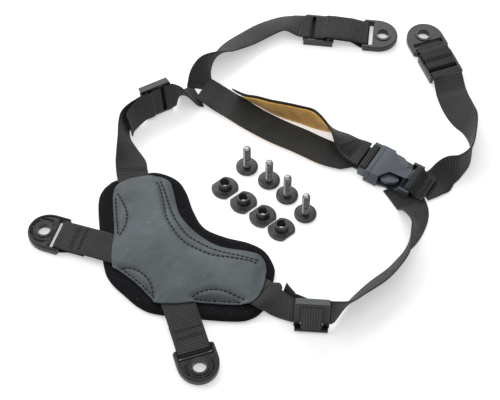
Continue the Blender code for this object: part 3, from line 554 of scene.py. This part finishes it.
class Strap:
    """A strap resampled at four stations a rib, with its surface given by (s, w, side)."""

    def __init__(self, stations, width=WIDTH, thick=THICK, offset=0.0, cup=0.0, ripple=0.0, seed=0):
        middle = np.array([s[0] for s in stations], float)
        across = np.array([s[1] for s in stations], float)
        normal = np.array([s[2] for s in stations], float)
        free = np.array([s[3] for s in stations], float)
        middle = middle + normal * offset
        step = np.linalg.norm(np.diff(middle, axis=0), axis=1)
        keep = np.concatenate([[True], step > 1e-4])
        middle, across, normal, free = middle[keep], across[keep], normal[keep], free[keep]
        length = np.concatenate([[0], np.cumsum(np.linalg.norm(np.diff(middle, axis=0), axis=1))])
        ribs = max(2, round(length[-1] / RIB_PITCH))
        self.pitch = length[-1] / ribs
        self.s = np.linspace(0, length[-1], ribs * 4 + 1)
        near = [np.stack([np.interp(self.s, length, v[:, k]) for k in range(3)], 1)
                for v in (middle, across, normal)]
        self.free = soften(np.interp(self.s, length, free), 12)
        self.across = unit(soften(near[1], 2))
        self.normal = soften(near[2], 2)
        self.normal = unit(self.normal - self.across * np.sum(self.normal * self.across, 1)[:, None])
        self.middle = near[0]
        self.width, self.thick, self.cup = width, thick, cup
        shift = np.array([noise.noise(Vector((s / 17, seed * 3.7, 1.3))) for s in self.s])
        edge = np.array([noise.noise(Vector((s / 9, seed * 5.1, 7.7))) for s in self.s])
        self.middle = self.middle + self.normal * (ripple * shift * self.free)[:, None]
        self.half = width / 2 * (1 + 0.012 * edge)
        self.length = self.s[-1]

    def at(self, s, w, side=1, lift=0.0):
        """A point on the strap, w from -1 to 1 across it, and lift above the surface."""
        i = min(max(s / self.length, 0), 1) * (len(self.s) - 1)
        k = min(int(i), len(self.s) - 2)
        t = i - k

        def pick(v):
            return v[k] * (1 - t) + v[k + 1] * t

        half = self.half[k]
        cup = self.cup * self.free[k] * (w * w - 0.4)
        rise = cup + side * (self.thick / 2 + lift)
        return Vector(pick(self.middle) + pick(self.across) * w * half + pick(self.normal) * rise)

    def build(self, name, material, body=None, slot=None, ribbed=True):
        """The strap's closed mesh with ribs on both faces and rolled edges."""
        top = np.linspace(1, -1, 11)
        ring = [(w, 1.0) for w in top] + [(-1.035, 0.45), (-1.035, -0.45)]
        ring += [(w, -1.0) for w in top[::-1]] + [(1.035, -0.45), (1.035, 0.45)]
        ring = np.array(ring)
        ring[np.abs(ring[:, 0]) == 1.0, 1] *= 0.86
        count = len(self.s)
        w = ring[:, 0][None, :]
        phase = self.s / self.pitch
        rib = np.abs(np.sin(math.pi * phase)) ** 0.8 if ribbed else np.ones(count)
        # shade: the rib profile, kept as the 'rib' attribute for the painted shade in the rib valleys
        shade = np.broadcast_to(rib[:, None], (count, len(ring))).ravel()
        rib = 1 - RIB_DEPTH * (1 - rib) / (self.thick / 2)
        height = ring[:, 1][None, :] * rib[:, None] * self.thick / 2
        cup = (self.cup * self.free)[:, None] * (np.clip(w * w, 0, 1) - 0.4)
        across = w * self.half[:, None]
        points = (self.middle[:, None, :] + self.across[:, None, :] * across[:, :, None]
                  + self.normal[:, None, :] * (height + cup)[:, :, None])
        points[:, :, 0] -= CENTRE[0]
        points[:, :, 1] -= CENTRE[1]
        points[:, :, 2] = np.maximum(points[:, :, 2], 0.03)
        size = len(ring)
        girth = np.concatenate([[0], np.cumsum(np.abs(np.diff(ring[:, 0])) + 0.08)]) * HALF / 10
        uvs = np.stack(np.broadcast_arrays(girth[None, :], (self.s / 10)[:, None]), -1).reshape(-1, 2)
        base = (np.arange(count - 1) * size)[:, None] + np.arange(size)[None, :]
        after = (np.arange(count - 1) * size)[:, None] + (np.arange(size) + 1)[None, :] % size
        faces = np.stack([base, after, after + size, base + size], -1).reshape(-1, 4).tolist()
        faces.append(list(range(size))[::-1])
        faces.append([(count - 1) * size + k for k in range(size)])
        return new_piece(name, points.reshape(-1, 3) * MM, faces, material, body, uvs, shade)


def outward(obj):
    """Makes the faces of a closed mesh point outwards."""
    bm = bmesh.new()
    bm.from_mesh(obj.data)
    bmesh.ops.recalc_face_normals(bm, faces=bm.faces)
    if bm.calc_volume(signed=True) < 0:
        bmesh.ops.reverse_faces(bm, faces=bm.faces)
    bm.to_mesh(obj.data)
    bm.free()
    obj.data.shade_smooth()


def tubes(name, lines, radius, material, body, sides=6, closed=False):
    """Round threads or beads along lines of layout points in millimetres."""
    verts, faces = [], []
    for line in lines:
        line = [Vector(p) for p in line]
        count = len(line)
        for i, point in enumerate(line):
            ahead = line[(i + 1) % count] if closed else line[min(i + 1, count - 1)]
            behind = line[i - 1] if closed else line[max(i - 1, 0)]
            tangent = (ahead - behind).normalized()
            side = tangent.cross(UP)
            side = side.normalized() if side.length > 0.05 else Vector((1, 0, 0))
            other = side.cross(tangent)
            end = not closed and i in (0, count - 1)
            reach = radius * (0.55 if end else 1.0)
            for k in range(sides):
                a = math.tau * k / sides
                verts.append(spot(*(point + side * math.cos(a) * reach + other * math.sin(a) * reach)))
        start = len(verts) - count * sides
        for i in range(count if closed else count - 1):
            here, following = start + i * sides, start + (i + 1) % count * sides
            for k in range(sides):
                after = (k + 1) % sides
                faces.append((here + k, here + after, following + after, following + k))
        if not closed:
            faces.append(tuple(start + k for k in range(sides))[::-1])
            faces.append(tuple(start + (count - 1) * sides + k for k in range(sides)))
    return new_piece(name, verts, faces, material, body)


STITCH_SINK = 0.12


def arch(a, b, out, rise):
    """A stitch from a to b whose ends sink in and whose middle stands proud."""
    return [a.lerp(b, t) + out * (rise * math.sin(math.pi * t) - STITCH_SINK)
            for t in (0, 0.15, 0.4, 0.6, 0.85, 1)]


def strap_stitches(strap, points, side=1):
    """Stitches between (s, w) points on a strap."""
    lines = []
    for (s0, w0), (s1, w1) in zip(points, points[1:]):
        a, b = strap.at(s0, w0, side), strap.at(s1, w1, side)
        out = (strap.at(s0, w0, side, 1) - a).normalized()
        lines.append(arch(a, b, out, 0.28))
    return lines


def bar_tack(strap, s, depth, w0=-0.85, w1=0.85, count=16, side=1):
    """Close zigzag stitches across a strap."""
    points = []
    for k in range(count + 1):
        points.append((s + depth * (0.5 if k % 2 else -0.5), w0 + (w1 - w0) * k / count))
    return strap_stitches(strap, points, side)


def box_stitch(strap, s0, s1, w0=-0.75, w1=0.75, step=2.6, side=1):
    """Running stitches round a box and along its diagonals."""
    corners = [(s0, w0), (s1, w0), (s1, w1), (s0, w1), (s0, w0), (s1, w1), (s1, w0), (s0, w1)]
    lines = []
    for (sa, wa), (sb, wb) in zip(corners, corners[1:]):
        run = math.hypot(sb - sa, (wb - wa) * HALF)
        n = max(1, round(run / step))
        for k in range(n):
            t0, t1 = (k + 0.1) / n, (k + 0.86) / n
            ends = [(sa + (sb - sa) * t, wa + (wb - wa) * t) for t in (t0, t1)]
            lines += strap_stitches(strap, ends, side)
    return lines


def pillow(name, outline, spacing, bottom, top, bulge, material, body):
    """A closed soft slab over an outline, with its heights given by functions of (x, y, depth)."""
    rim = [Vector(p) for p in outline]
    lo = Vector((min(p.x for p in rim), min(p.y for p in rim)))
    hi = Vector((max(p.x for p in rim), max(p.y for p in rim)))
    segments = list(zip(rim, rim[1:] + rim[:1]))

    def depth(p):
        best = 1e9
        for a, b in segments:
            run = b - a
            t = min(max((p - a).dot(run) / run.length_squared, 0), 1)
            best = min(best, (p - a - run * t).length)
        return best

    def inside(p):
        odd = False
        for a, b in segments:
            if (a.y > p.y) != (b.y > p.y) and p.x < a.x + (p.y - a.y) * (b.x - a.x) / (b.y - a.y):
                odd = not odd
        return odd

    points = list(rim)
    row = 0
    y = lo.y
    while y <= hi.y:
        x = lo.x + (spacing / 2 if row % 2 else 0)
        while x <= hi.x:
            p = Vector((x, y))
            if inside(p) and depth(p) > spacing * 0.62:
                points.append(p)
            x += spacing
        y += spacing * 0.866
        row += 1
    count = len(rim)
    found = delaunay_2d_cdt(points, [(i, (i + 1) % count) for i in range(count)], [], 1, 1e-5)
    flat, triangles = found[0], found[2]
    verts, faces = [], []
    index = {}
    for i, p in enumerate(flat):
        d = depth(p) if i >= count else 0.0
        index[i] = d
        verts.append(Vector((p.x, p.y, top(p.x, p.y, d))))
    size = len(verts)
    for i, p in enumerate(flat):
        verts.append(Vector((p.x, p.y, bottom(p.x, p.y, index[i]))))
    for a, b, c in triangles:
        faces.append((a, b, c))
        faces.append((a + size, c + size, b + size))
    start = len(verts)
    for i in range(count):
        before, after = rim[i - 1], rim[(i + 1) % count]
        out = Vector((after.y - before.y, before.x - after.x)).normalized()
        if inside(rim[i] + out * 0.01):
            out = -out
        mid = (verts[i] + verts[i + size]) / 2
        verts.append(mid + Vector((out.x, out.y, 0)) * bulge)
    for i in range(count):
        j = (i + 1) % count
        faces.append((i, j, start + j, start + i))
        faces.append((start + i, start + j, j + size, i + size))
    obj = new_piece(name, [v * MM for v in verts], faces, material)
    obj.matrix_world = pad_matrix()
    bpy.context.view_layer.update()
    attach(obj, body)
    return obj, size


def pad_matrix():
    origin, along, across, out = frame_at(PAD_PLACE)
    turn = Matrix((along, across, out)).transposed().to_4x4()
    return Matrix.Translation(spot(*origin)) @ turn


def apply_modifiers(obj):
    """The object's mesh with its modifiers applied."""
    depsgraph = bpy.context.evaluated_depsgraph_get()
    mesh = bpy.data.meshes.new_from_object(obj.evaluated_get(depsgraph))
    obj.modifiers.clear()
    obj.data = mesh
    return obj


def ease(x):
    x = min(max(x, 0), 1)
    return x * x * (3 - 2 * x)


# ---- webbing ---------------------------------------------------------------

def lay(key, strap, node, body="harness"):
    """The strap's webbing in place of its CAD node."""
    obj = strap.build(f"webbing_{key}", WEBBING, body, "black_webbing")
    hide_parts(node)
    straps[key] = strap
    return obj


def make_webbing():
    path = dense(looped_strap_path(SLIDER_FRONT_LEFT, ANCHOR_FRONT_LEFT))
    entry = (beside(SLIDER_FRONT_LEFT, -SLIDER_ENTRY, THROUGH, True),)
    free = strap_stations(FRONT_LEFT_ROUTE + entry)[:-1]
    strap = Strap(free + held(SLIDER_FRONT_LEFT, path[::-1]), cup=0.7, ripple=0.5, seed=1)
    lay("front_left", strap, "front_strap_left")

    path = dense(looped_strap_path(SLIDER_FRONT_RIGHT, ANCHOR_FRONT_RIGHT))
    leave = (beside(SLIDER_FRONT_RIGHT, -SLIDER_ENTRY, THROUGH, False),)
    free = strap_stations(leave + FRONT_RIGHT_ROUTE)[1:]
    strap = Strap(held(SLIDER_FRONT_RIGHT, path) + free, cup=-0.7, ripple=0.5, seed=2)
    lay("front_right", strap, "front_strap_right", "buckle_side")

    before = strap_stations(REAR_LEFT_FROM_PAD + (beside(SLIDER_NAPE_LEFT, SLIDER_ENTRY, THROUGH, False),))
    after = strap_stations((beside(SLIDER_NAPE_LEFT, -SLIDER_ENTRY, THROUGH, False),) + REAR_LEFT_TO_JUNCTION)
    middle = held(SLIDER_NAPE_LEFT, rounded(THROUGH_PATH, BEND, 8))
    strap = Strap(before[:-1] + middle + after[1:], cup=0.4, ripple=0.3, seed=3)
    lay("rear_left", strap, "rear_leg_left")

    before = strap_stations(REAR_RIGHT_ROUTE + (beside(SLIDER_NAPE_RIGHT, -SLIDER_ENTRY, THROUGH, True),))
    after = strap_stations((beside(SLIDER_NAPE_RIGHT, SLIDER_ENTRY, THROUGH, True),) + REAR_RIGHT_TO_PAD)
    middle = held(SLIDER_NAPE_RIGHT, rounded(THROUGH_PATH, BEND, 8)[::-1])
    strap = Strap(before[:-1] + middle + after[1:], cup=0.4, ripple=0.3, seed=4)
    obj = lay("rear_right", strap, "rear_leg_right", None)
    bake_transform(obj)

    tails = (
        ("left", SLIDER_NAPE_LEFT, TAIL_LEFT_ROUTE, 0),
        ("right", SLIDER_NAPE_RIGHT, TAIL_RIGHT_ROUTE, TAIL_RIGHT_SPREAD),
    )
    for name, slider, route, spread in tails:
        path = KEEPER_PATH[:-1] + ((11.2, KEEPER - spread),)
        hook = held(slider, rounded(path, BEND, 8))
        free = strap_stations((beside(slider, 11.2, KEEPER - spread, True),) + route)
        strap = Strap(hook + free[1:], cup=0.2, seed=5)
        lay(f"tail_{name}", strap, f"slider_tail_{name}")

    for name, anchor, reach in (
            ("left", ANCHOR_REAR_LEFT, 50), ("bottom", ANCHOR_REAR_BOTTOM, 53)):
        inner = INNER_LAYER - 3.0
        path = (
            (-reach, inner), (-21, inner), (-1, ANCHOR_LOOP), (ANCHOR_LOOP, ANCHOR_LOOP),
            (ANCHOR_LOOP, -ANCHOR_LOOP), (-2, -ANCHOR_LOOP), (-8, 0.75), (-18, 1.15),
        )
        strap = Strap(held(anchor, dense(rounded(path, 2.25, 8))), seed=6)
        lay(f"anchor_{name}", strap, f"anchor_strap_{name}")

    stations = strap_stations(CHIN_REAR_ROUTE)
    low = STRAP_BAR_HEIGHT - BUCKLE_LOOP
    high = STRAP_BAR_HEIGHT + BUCKLE_LOOP
    turn = MALE_BAR + BUCKLE_LOOP
    path = (
        (-13, low - 0.5), (MALE_BAR, low), (turn, low), (turn, high),
        (MALE_BAR - 1, high), (-8.4, high - 0.2),
    )
    loop = held(BUCKLE, dense(rounded(path, BUCKLE_LOOP, 8)))
    strap = Strap(stations + loop, cup=0.25, ripple=0.2, seed=7)
    lay("chin_rear", strap, "chin_band_rear")

    strap = Strap(strap_stations(CHIN_FRONT_ROUTE), cup=0.25, seed=8)
    lay("chin_front", strap, "chin_band_front")

    for name, route, steps, span, drop in (
            ("rear", CHIN_REAR_ROUTE, 3, LINING_REAR_SPAN, 0.0),
            ("front", CHIN_FRONT_ROUTE, 5, LINING_FRONT_SPAN, GAP)):
        rows = smooth(route, steps)[span[0]:span[1]]
        under = -(THICK / 2 + GAP + 0.45) - drop * 0.3
        strap = Strap(strap_stations(rows, 6), 17.4, 0.9, under, cup=0.0, seed=9)
        obj = strap.build(f"suede_chin_{name}", SUEDE, "harness", "tan_suede", ribbed=False)
        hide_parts(f"chin_lining_{name}")
        straps[f"suede_{name}"] = strap

    turn = FEMALE_BAR - BUCKLE_LOOP
    path = (
        (FEMALE_BAR + 0.8, low), (turn, low), (turn, high), (FEMALE_BAR + 1, high),
        (FEMALE_BAR + 5, 1.3), (FEMALE_BAR + 11, 1.1),
    )
    strap = Strap(held(BUCKLE, dense(rounded(path, BUCKLE_LOOP, 8))), seed=10)
    lay("buckle_loop", strap, "buckle_loop", "buckle_side")


def dense(path, step=1.0):
    """A polyline with points no further apart than step."""
    points = [Vector(path[0])]
    for a, b in zip(path, path[1:]):
        n = max(1, math.ceil((b - a).length / step))
        points += [a.lerp(b, (k + 1) / n) for k in range(n)]
    return points


straps = {}
make_webbing()


# ---- nape pad --------------------------------------------------------------

SETTLE_FRAMES = 20
COVER_TRAVEL = 2.0


def make_base():
    outline = pad_stations(BASE_HALF, 8)

    def top(x, y, d):
        rough = 0.18 * noise.noise(Vector((x / 2.2, y / 2.2, 3)))
        rough += 0.3 * noise.noise(Vector((x / 11, y / 11, 1)))
        return BASE_TOP - 0.45 - 1.5 * (1 - ease(d / 2.6)) + rough * ease(d / 2)

    def bottom(x, y, d):
        return 0.12 + 1.2 * (1 - ease(d / 2.0))

    obj, _ = pillow("felt_base", outline, 1.7, bottom, top, 0.4, FELT, "harness")
    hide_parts("nape_pad_base")
    smooth_more = obj.modifiers.new("soft", "SUBSURF")
    smooth_more.levels = smooth_more.render_levels = 1


def make_cover():
    outline = pad_stations(COVER_HALF, 7)
    exits = [Vector(e) for e in EXITS]

    def opening(x, y):
        near = min((Vector((x, y)) - e).length for e in exits)
        return ease((16 - near) / 5)

    def bottom(x, y, d):
        return 5.1 + 1.55 * max(opening(x, y), ease(d / 5))

    def top(x, y, d):
        return bottom(x, y, d) + 0.9 + 1.9 * ease(d / 9)

    obj, size = pillow("cover", outline, 2.0, bottom, top, 0.15, COVER, "harness")
    pinned = obj.vertex_groups.new(name="pinned")
    rest = [v.co.copy() for v in obj.data.vertices]
    held_points = [i for i in range(len(rest)) if i >= size]
    rim = len(outline)
    pinned.add(held_points + list(range(rim)), 1.0, "ADD")
    cloth = obj.modifiers.new("cloth", "CLOTH")
    cloth.settings.use_pressure = True
    cloth.settings.uniform_pressure_force = 4.0
    cloth.settings.vertex_group_mass = "pinned"
    cloth.settings.effector_weights.gravity = 0
    cloth.settings.quality = 6
    cloth.point_cache.frame_start = 1
    cloth.point_cache.frame_end = SETTLE_FRAMES
    for number in range(1, SETTLE_FRAMES + 1):
        bpy.context.scene.frame_set(number)
    apply_modifiers(obj)
    bpy.context.scene.frame_set(1)
    cap = COVER_TRAVEL * MM
    for vert, start in zip(obj.data.vertices, rest):
        move = vert.co - start
        if move.length > cap:
            vert.co = start + move.normalized() * cap
    finer = obj.modifiers.new("finer", "SUBSURF")
    finer.levels = finer.render_levels = 1
    apply_modifiers(obj)
    return obj


# stitch rows on the cover, in the pad's frame
LENS_TOP_OUT = ((2.1, 55.2), (-3.5, 40.6), (-11, 33.5), (-18.6, 31.3))
LENS_TOP_EDGE = ((-0.5, 54.2), (-9.5, 43.5), (-18.2, 32.6))
LENS_SIDE_EDGE = ((-33.4, 14.5), (-32.7, 0), (-33.4, -14.5))
LENS_SIDE = ((-34.4, 15.5), (-29.2, 8), (-27.6, 0), (-29.2, -8), (-34.4, -15.5))
OUTER_ROW = ((27.1, 42.4), (22.2, 32.7), (16.8, 22.7), (12.6, 12.3), (10.2, 0))
INNER_ROW = ((24.7, 43.6), (23.2, 39), (16.5, 28.5), (9.7, 18.5), (5.6, 5), (5.2, 0))


def seam_rows():
    """Stitch lines on the cover in the pad's frame."""
    def flip(row):
        return tuple((x, -y) for x, y in row)

    rows = []
    for row in (LENS_TOP_OUT, LENS_TOP_EDGE):
        rows += [row, flip(row)]
    rows += [LENS_SIDE, LENS_SIDE_EDGE]
    for row in (OUTER_ROW, INNER_ROW):
        rows.append(tuple(row) + tuple(flip(row))[::-1][1:])
    dense_rows = []
    for row in rows:
        curve = [Vector(p) for p in smooth(list(row), 12)]
        length = [0.0]
        for a, b in zip(curve, curve[1:]):
            length.append(length[-1] + (b - a).length)
        dense_rows.append((curve, length))
    return dense_rows


def dress_cover(obj):
    """Grooves along the seams, soft waves, then the stitches themselves."""
    rows = seam_rows()
    mesh = obj.data
    co = np.empty(len(mesh.vertices) * 3)
    mesh.vertices.foreach_get("co", co)
    co = co.reshape(-1, 3)
    line = np.array([tuple(p) for curve, _ in rows for p in curve])
    plan = co[:, :2] / MM
    gap = np.full(len(co), 1e9)
    for k in range(0, len(line), 64):
        part = line[k:k + 64]
        gap = np.minimum(gap, np.min(np.linalg.norm(plan[:, None, :] - part[None, :, :], axis=2), axis=1))
    lift = co[:, 2] / MM > 6.4
    wave = np.array([noise.noise(Vector((x / 14, y / 14, 5))) * 0.35
                     + noise.noise(Vector((x / 5, y / 5, 9))) * 0.1
                     for x, y in plan])
    co[:, 2] += lift * (wave - 0.95 * np.exp(-(gap / 1.4) ** 2)) * MM
    mesh.vertices.foreach_set("co", co.ravel())
    mesh.update()
    tree = BVHTree.FromPolygons([tuple(c) for c in co], [tuple(p.vertices) for p in mesh.polygons])
    matrix = pad_matrix()
    lines = []
    shift = Vector((*CENTRE, 0))

    def drop(p):
        hit = tree.ray_cast(Vector((p.x * MM, p.y * MM, 0.05)), Vector((0, 0, -1)))
        if hit[0] is None:
            return None
        return matrix @ hit[0] / MM + shift

    for curve, length in rows:
        total = length[-1]
        n = max(2, round(total / 2.9))
        for k in range(n):
            ends = []
            for t in ((k + 0.12) / n * total, (k + 0.84) / n * total):
                x = np.interp(t, length, [p.x for p in curve])
                y = np.interp(t, length, [p.y for p in curve])
                ends.append(drop(Vector((x, y))))
            if None not in ends:
                lines.append(arch(ends[0], ends[1], UP, 0.45))
    tubes("cover_stitches", lines, 0.5, THREAD, "harness")


make_base()
cover = make_cover()
dress_cover(cover)
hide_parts("nape_pad_cover", "nape_pad_foam")


# ---- hardware --------------------------------------------------------------

def edged(node, width=0.35, material=PLASTIC):
    """A CAD node with softened edges and a better material."""
    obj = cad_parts[node]
    obj.data.materials.clear()
    obj.data.materials.append(material)
    bevel = obj.modifiers.new("edges", "BEVEL")
    bevel.width = width * MM
    bevel.segments = 3
    bevel.limit_method = "ANGLE"
    bevel.angle_limit = math.radians(32)
    bevel.harden_normals = True


for side in ("front_left", "front_right", "nape_left", "nape_right"):
    edged(f"slider_{side}")
for side in ("rear_left", "rear_bottom", "front_left", "front_right"):
    edged(f"anchor_{side}", 0.3)
for node in ("buckle_female", "buckle_male", "prong_upper", "prong_lower"):
    edged(node, 0.3, BUCKLE_PLASTIC)


def lathe(name, x, y, rows, sides, material, body, ring=False):
    """A turned piece from (radius, height) rows, capped at both ends or closed as a ring.

    A radius is a number or a function of the angle.
    """
    verts, faces = [], []
    for radius, z in rows:
        for k in range(sides):
            a = math.tau * k / sides
            r = radius(a) if callable(radius) else radius
            verts.append(spot(x + r * math.cos(a), y + r * math.sin(a), z))
    for i in range(len(rows) if ring else len(rows) - 1):
        j = (i + 1) % len(rows)
        for k in range(sides):
            after = (k + 1) % sides
            faces.append((i * sides + k, i * sides + after, j * sides + after, j * sides + k))
    if not ring:
        faces.append(tuple(range(sides)))
        faces.append(tuple((len(rows) - 1) * sides + k for k in range(sides))[::-1])
    return new_piece(name, verts, faces, material, body)


def thread_radius(z, pitch, outer, inner, phase):
    """Radius of a screw thread as a function of angle."""
    def radius(a):
        t = (z / pitch - a / math.tau + phase) % 1.0
        return inner + (outer - inner) * max(0.0, 1 - abs(t - 0.5) / 0.42)
    return radius


THREAD_PITCH = 0.8
SHANK_TOP = 2.6 + 18.0
NUT_HEADING = math.radians(40)
NUT_RADIUS = 8.5
NUT_HALF_FLATS = 7.0


def make_screw(number, x, y):
    body = f"screw_{number}_body"
    rows = [(0.4, SHANK_TOP), (1.95, SHANK_TOP), (2.15, SHANK_TOP - 0.25)]
    z = SHANK_TOP - 0.35
    while z > 2.9:
        fade = min(1, (SHANK_TOP - z) / 1.2)
        crest = 2.5 * (0.86 + 0.14 * fade)
        rows.append((thread_radius(z, THREAD_PITCH, crest, 2.02, number * 0.3), z))
        z -= 0.1
    rows.append((2.3, 2.75))
    rows.append((2.3, 2.5))
    lathe(f"screw_{number}_shank", x, y, rows, 40, STEEL, body)
    head = [(2.0, 2.5), (2.5, 2.6), (3.6, 2.62), (5.9, 2.5), (6.6, 2.2), (6.95, 1.75),
            (7.0, 1.2), (6.95, 0.5), (6.7, 0.12), (6.3, 0.02), (0.5, 0.02)]
    piece = lathe(f"screw_{number}_head", x, y, head, 56, OXIDE, body)
    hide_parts(f"screw_{number}")


def make_nut(number, x, y):
    body = f"nut_{number}_body"

    def flange(scale):
        def radius(a):
            limit = NUT_HALF_FLATS / max(abs(math.sin(a - NUT_HEADING)), 1e-6)
            return min(NUT_RADIUS, limit) * scale
        return radius

    rows = []
    z = 0.15
    while z < 6.6:
        rows.append((thread_radius(z, THREAD_PITCH, 2.85, 2.5, number * 0.37), z))
        z += 0.14
    rows += [(2.9, 6.78), (3.1, 7.02), (3.4, 7.1), (3.72, 6.98), (3.88, 6.7), (3.9, 6.3),
             (3.9, 1.9), (4.0, 1.55), (4.3, 1.36), (5.5, 1.32), (flange(0.955), 1.3),
             (flange(0.99), 1.14), (flange(1.0), 0.9), (flange(1.0), 0.35),
             (flange(0.985), 0.1), (flange(0.96), 0.0), (4.0, 0.0), (2.7, 0.05)]
    obj = lathe(f"nut_{number}_detail", x, y, rows, 72, OXIDE, body, True)
    obj.data.set_sharp_from_angle(angle=math.radians(50))
    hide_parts(f"nut_{number}")


for number, (x, y) in enumerate(SCREWS, 1):
    make_screw(number, x, y)
for number, (x, y) in enumerate(NUTS, 1):
    make_nut(number, x, y)


def raised_anchor(name, place, body):
    """The moulded rim, ring and ribs on the pocketed face of an anchor, with near-black tubes as painted
    shade in its pockets.
    """
    origin, along, across, out = frame_at(place)

    def point(s, w, h=2.15):
        return origin + along * s + across * w + out * h

    rim = [(-1.0, -11.4), (4.0, -11.4), (8.5, -11.3)]
    rim += [(8.5 + 12.4 * math.cos(a), 11.3 * math.sin(a)) for a in np.linspace(-1.45, 1.45, 19)]
    rim += [(8.5, 11.3), (4.0, 11.4), (-1.0, 11.4)]
    lines = [[point(*p) for p in rim], [point(5.2, w) for w in (-10.6, -4, 4, 10.6)]]
    ring = [[point(12 + 5.2 * math.cos(a), 5.2 * math.sin(a)) for a in np.linspace(0, math.tau, 25)[:-1]]]
    for turn in (-52, 0, 52, 128, -128):
        a = math.radians(turn)
        reach = 8.6 if abs(turn) > 90 else 8.9
        lines.append([point(12 + r * math.cos(a), r * math.sin(a)) for r in (5.2, reach)])
    tubes(f"{name}_ribs", lines, 0.75, PLASTIC, body, 8)
    tubes(f"{name}_ring", ring, 0.8, PLASTIC, body, 8, True)
    # painted shade: near-black tubes sunk into the pockets between the ribs stand for the shade in them
    lines = []
    for a0, a1, radius in ((-46, -6, 7.6), (6, 46, 7.6), (58, 118, 8.0), (-118, -58, 8.0)):
        turns = np.radians(np.linspace(a0, a1, 8))
        lines.append([point(12 + radius * math.cos(a), radius * math.sin(a), 1.85) for a in turns])
    tubes(f"{name}_pocket_shade", lines, 0.95, POCKET_SHADE, body, 8)


raised_anchor("anchor_rear_left", ANCHOR_REAR_LEFT, "anchor_rear_left_body")
raised_anchor("anchor_rear_bottom", ANCHOR_REAR_BOTTOM, "anchor_rear_bottom_body")


# ---- stitching -------------------------------------------------------------

SEWN_HEIGHT = 5.5


def sew(name, lines, radius=0.24, body="harness"):
    tubes(name, lines, radius, THREAD, body)


def nearest(strap, place):
    """Arc length where a strap turns round an anchor's bar."""
    heading = math.radians(place[3])
    away = strap.middle[:, :2] - np.array(place[:2])
    reach = away[:, 0] * math.cos(heading) + away[:, 1] * math.sin(heading)
    far = np.linalg.norm(away, axis=1) > 20
    reach[far] = -99
    return float(strap.s[int(np.argmax(reach))])


def facing_up(strap, s):
    """The side of the strap that faces up at s."""
    return 1 if strap.at(s, 0, 1).z > strap.at(s, 0, -1).z else -1


def make_stitching():
    front = straps["chin_front"]
    lines = bar_tack(front, front.length - 9, 7.0)
    lines += bar_tack(front, front.length - 13, 4.0, count=14)
    sew("tacks_chin_front", lines, 0.26)
    for name, anchor in (("left", ANCHOR_REAR_LEFT), ("bottom", ANCHOR_REAR_BOTTOM)):
        strap = straps[f"anchor_{name}"]
        bar = nearest(strap, anchor)
        lines = bar_tack(strap, bar - 12, 4.0, count=14) + bar_tack(strap, bar - 17, 2.4, count=14)
        sew(f"tacks_anchor_{name}", lines)
    strap = straps["buckle_loop"]
    side = facing_up(strap, strap.length - 6)
    lines = box_stitch(strap, strap.length - 11.5, strap.length - 1.5, side=side)
    lines += bar_tack(strap, strap.length - 3, 2.4, side=side)
    sew("tacks_buckle_loop", lines, body="buckle_side")
    fronts = (
        ("front_left", ANCHOR_FRONT_LEFT, "harness", (-13, -19)),
        ("front_right", ANCHOR_FRONT_RIGHT, "buckle_side", (-9,)),
    )
    for name, anchor, body, places in fronts:
        strap = straps[name]
        bar = nearest(strap, anchor)
        lines = []
        for place in places:
            s = bar + place
            side = facing_up(strap, s)
            if strap.at(s, 0, side).z < SEWN_HEIGHT:
                s = 2 * bar - s
                side = facing_up(strap, s)
            lines += bar_tack(strap, s, 3.6, side=side)
        sew(f"tacks_{name}", lines, body=body)


make_stitching()


# ---- floor, light and camera ----------------------------------------------

floor_mesh = bpy.data.meshes.new("floor")
floor_mesh.from_pydata([(-3, -3, 0), (3, -3, 0), (3, 3, 0), (-3, 3, 0)], [], [(0, 1, 2, 3)])
floor = bpy.data.objects.new("floor", floor_mesh)
bpy.context.scene.collection.objects.link(floor)
white = bpy.data.materials.new("floor_white")
white.use_nodes = True
shader = white.node_tree.nodes["Principled BSDF"].inputs
shader["Base Color"].default_value = (0.85, 0.85, 0.85, 1)
shader["Emission Color"].default_value = (1, 1, 1, 1)
shader["Emission Strength"].default_value = 0.42
shader["Roughness"].default_value = 0.9
shader["Specular IOR Level"].default_value = 0.1
floor_mesh.materials.append(white)

world = bpy.data.worlds.new("studio")
bpy.context.scene.world = world
world.use_nodes = True
world.node_tree.nodes["Background"].inputs["Color"].default_value = (0.95, 0.97, 1.0, 1)
world.node_tree.nodes["Background"].inputs["Strength"].default_value = 0.3


def lamp(name, place, aim, size, power, colour=(1, 1, 1)):
    data = bpy.data.lights.new(name, "AREA")
    data.shape = "RECTANGLE"
    data.size, data.size_y = size
    data.energy = power
    data.color = colour
    obj = bpy.data.objects.new(name, data)
    bpy.context.scene.collection.objects.link(obj)
    obj.location = place
    obj.rotation_mode = "QUATERNION"
    obj.rotation_quaternion = (Vector(aim) - Vector(place)).to_track_quat("-Z", "Y")
    return obj


lamp("back_softbox", (-0.1, 0.75, 0.65), (0, 0, 0), (0.9, 0.5), 6.0, (0.95, 0.98, 1.0))
lamp("left_softbox", (-0.75, 0.1, 0.6), (0, 0, 0), (0.5, 0.8), 3.5, (1.0, 1.0, 1.0))
lamp("top_softbox", (0.1, -0.1, 1.0), (0, 0, 0), (0.8, 0.8), 2.5)

LENS = 97.92
CAMERA_ELEVATION = 55.5  # degrees above the floor
CAMERA_DISTANCE = 850.0
camera_data = bpy.data.cameras.new("camera")
camera_data.sensor_width = 36
camera_data.lens = LENS
camera_data.clip_start = 0.01
camera_data.clip_end = 20
camera = bpy.data.objects.new("camera", camera_data)
bpy.context.scene.collection.objects.link(camera)
elevation = math.radians(CAMERA_ELEVATION)
camera.location = (
    -CENTRE[0] * MM,
    (-CAMERA_DISTANCE * math.cos(elevation) - CENTRE[1]) * MM,
    CAMERA_DISTANCE * math.sin(elevation) * MM,
)
forward = Vector((0, math.cos(elevation), -math.sin(elevation)))
camera.rotation_mode = "QUATERNION"
camera.rotation_quaternion = forward.to_track_quat("-Z", "Y")
bpy.context.scene.camera = camera
bpy.context.scene.view_settings.view_transform = "Standard"
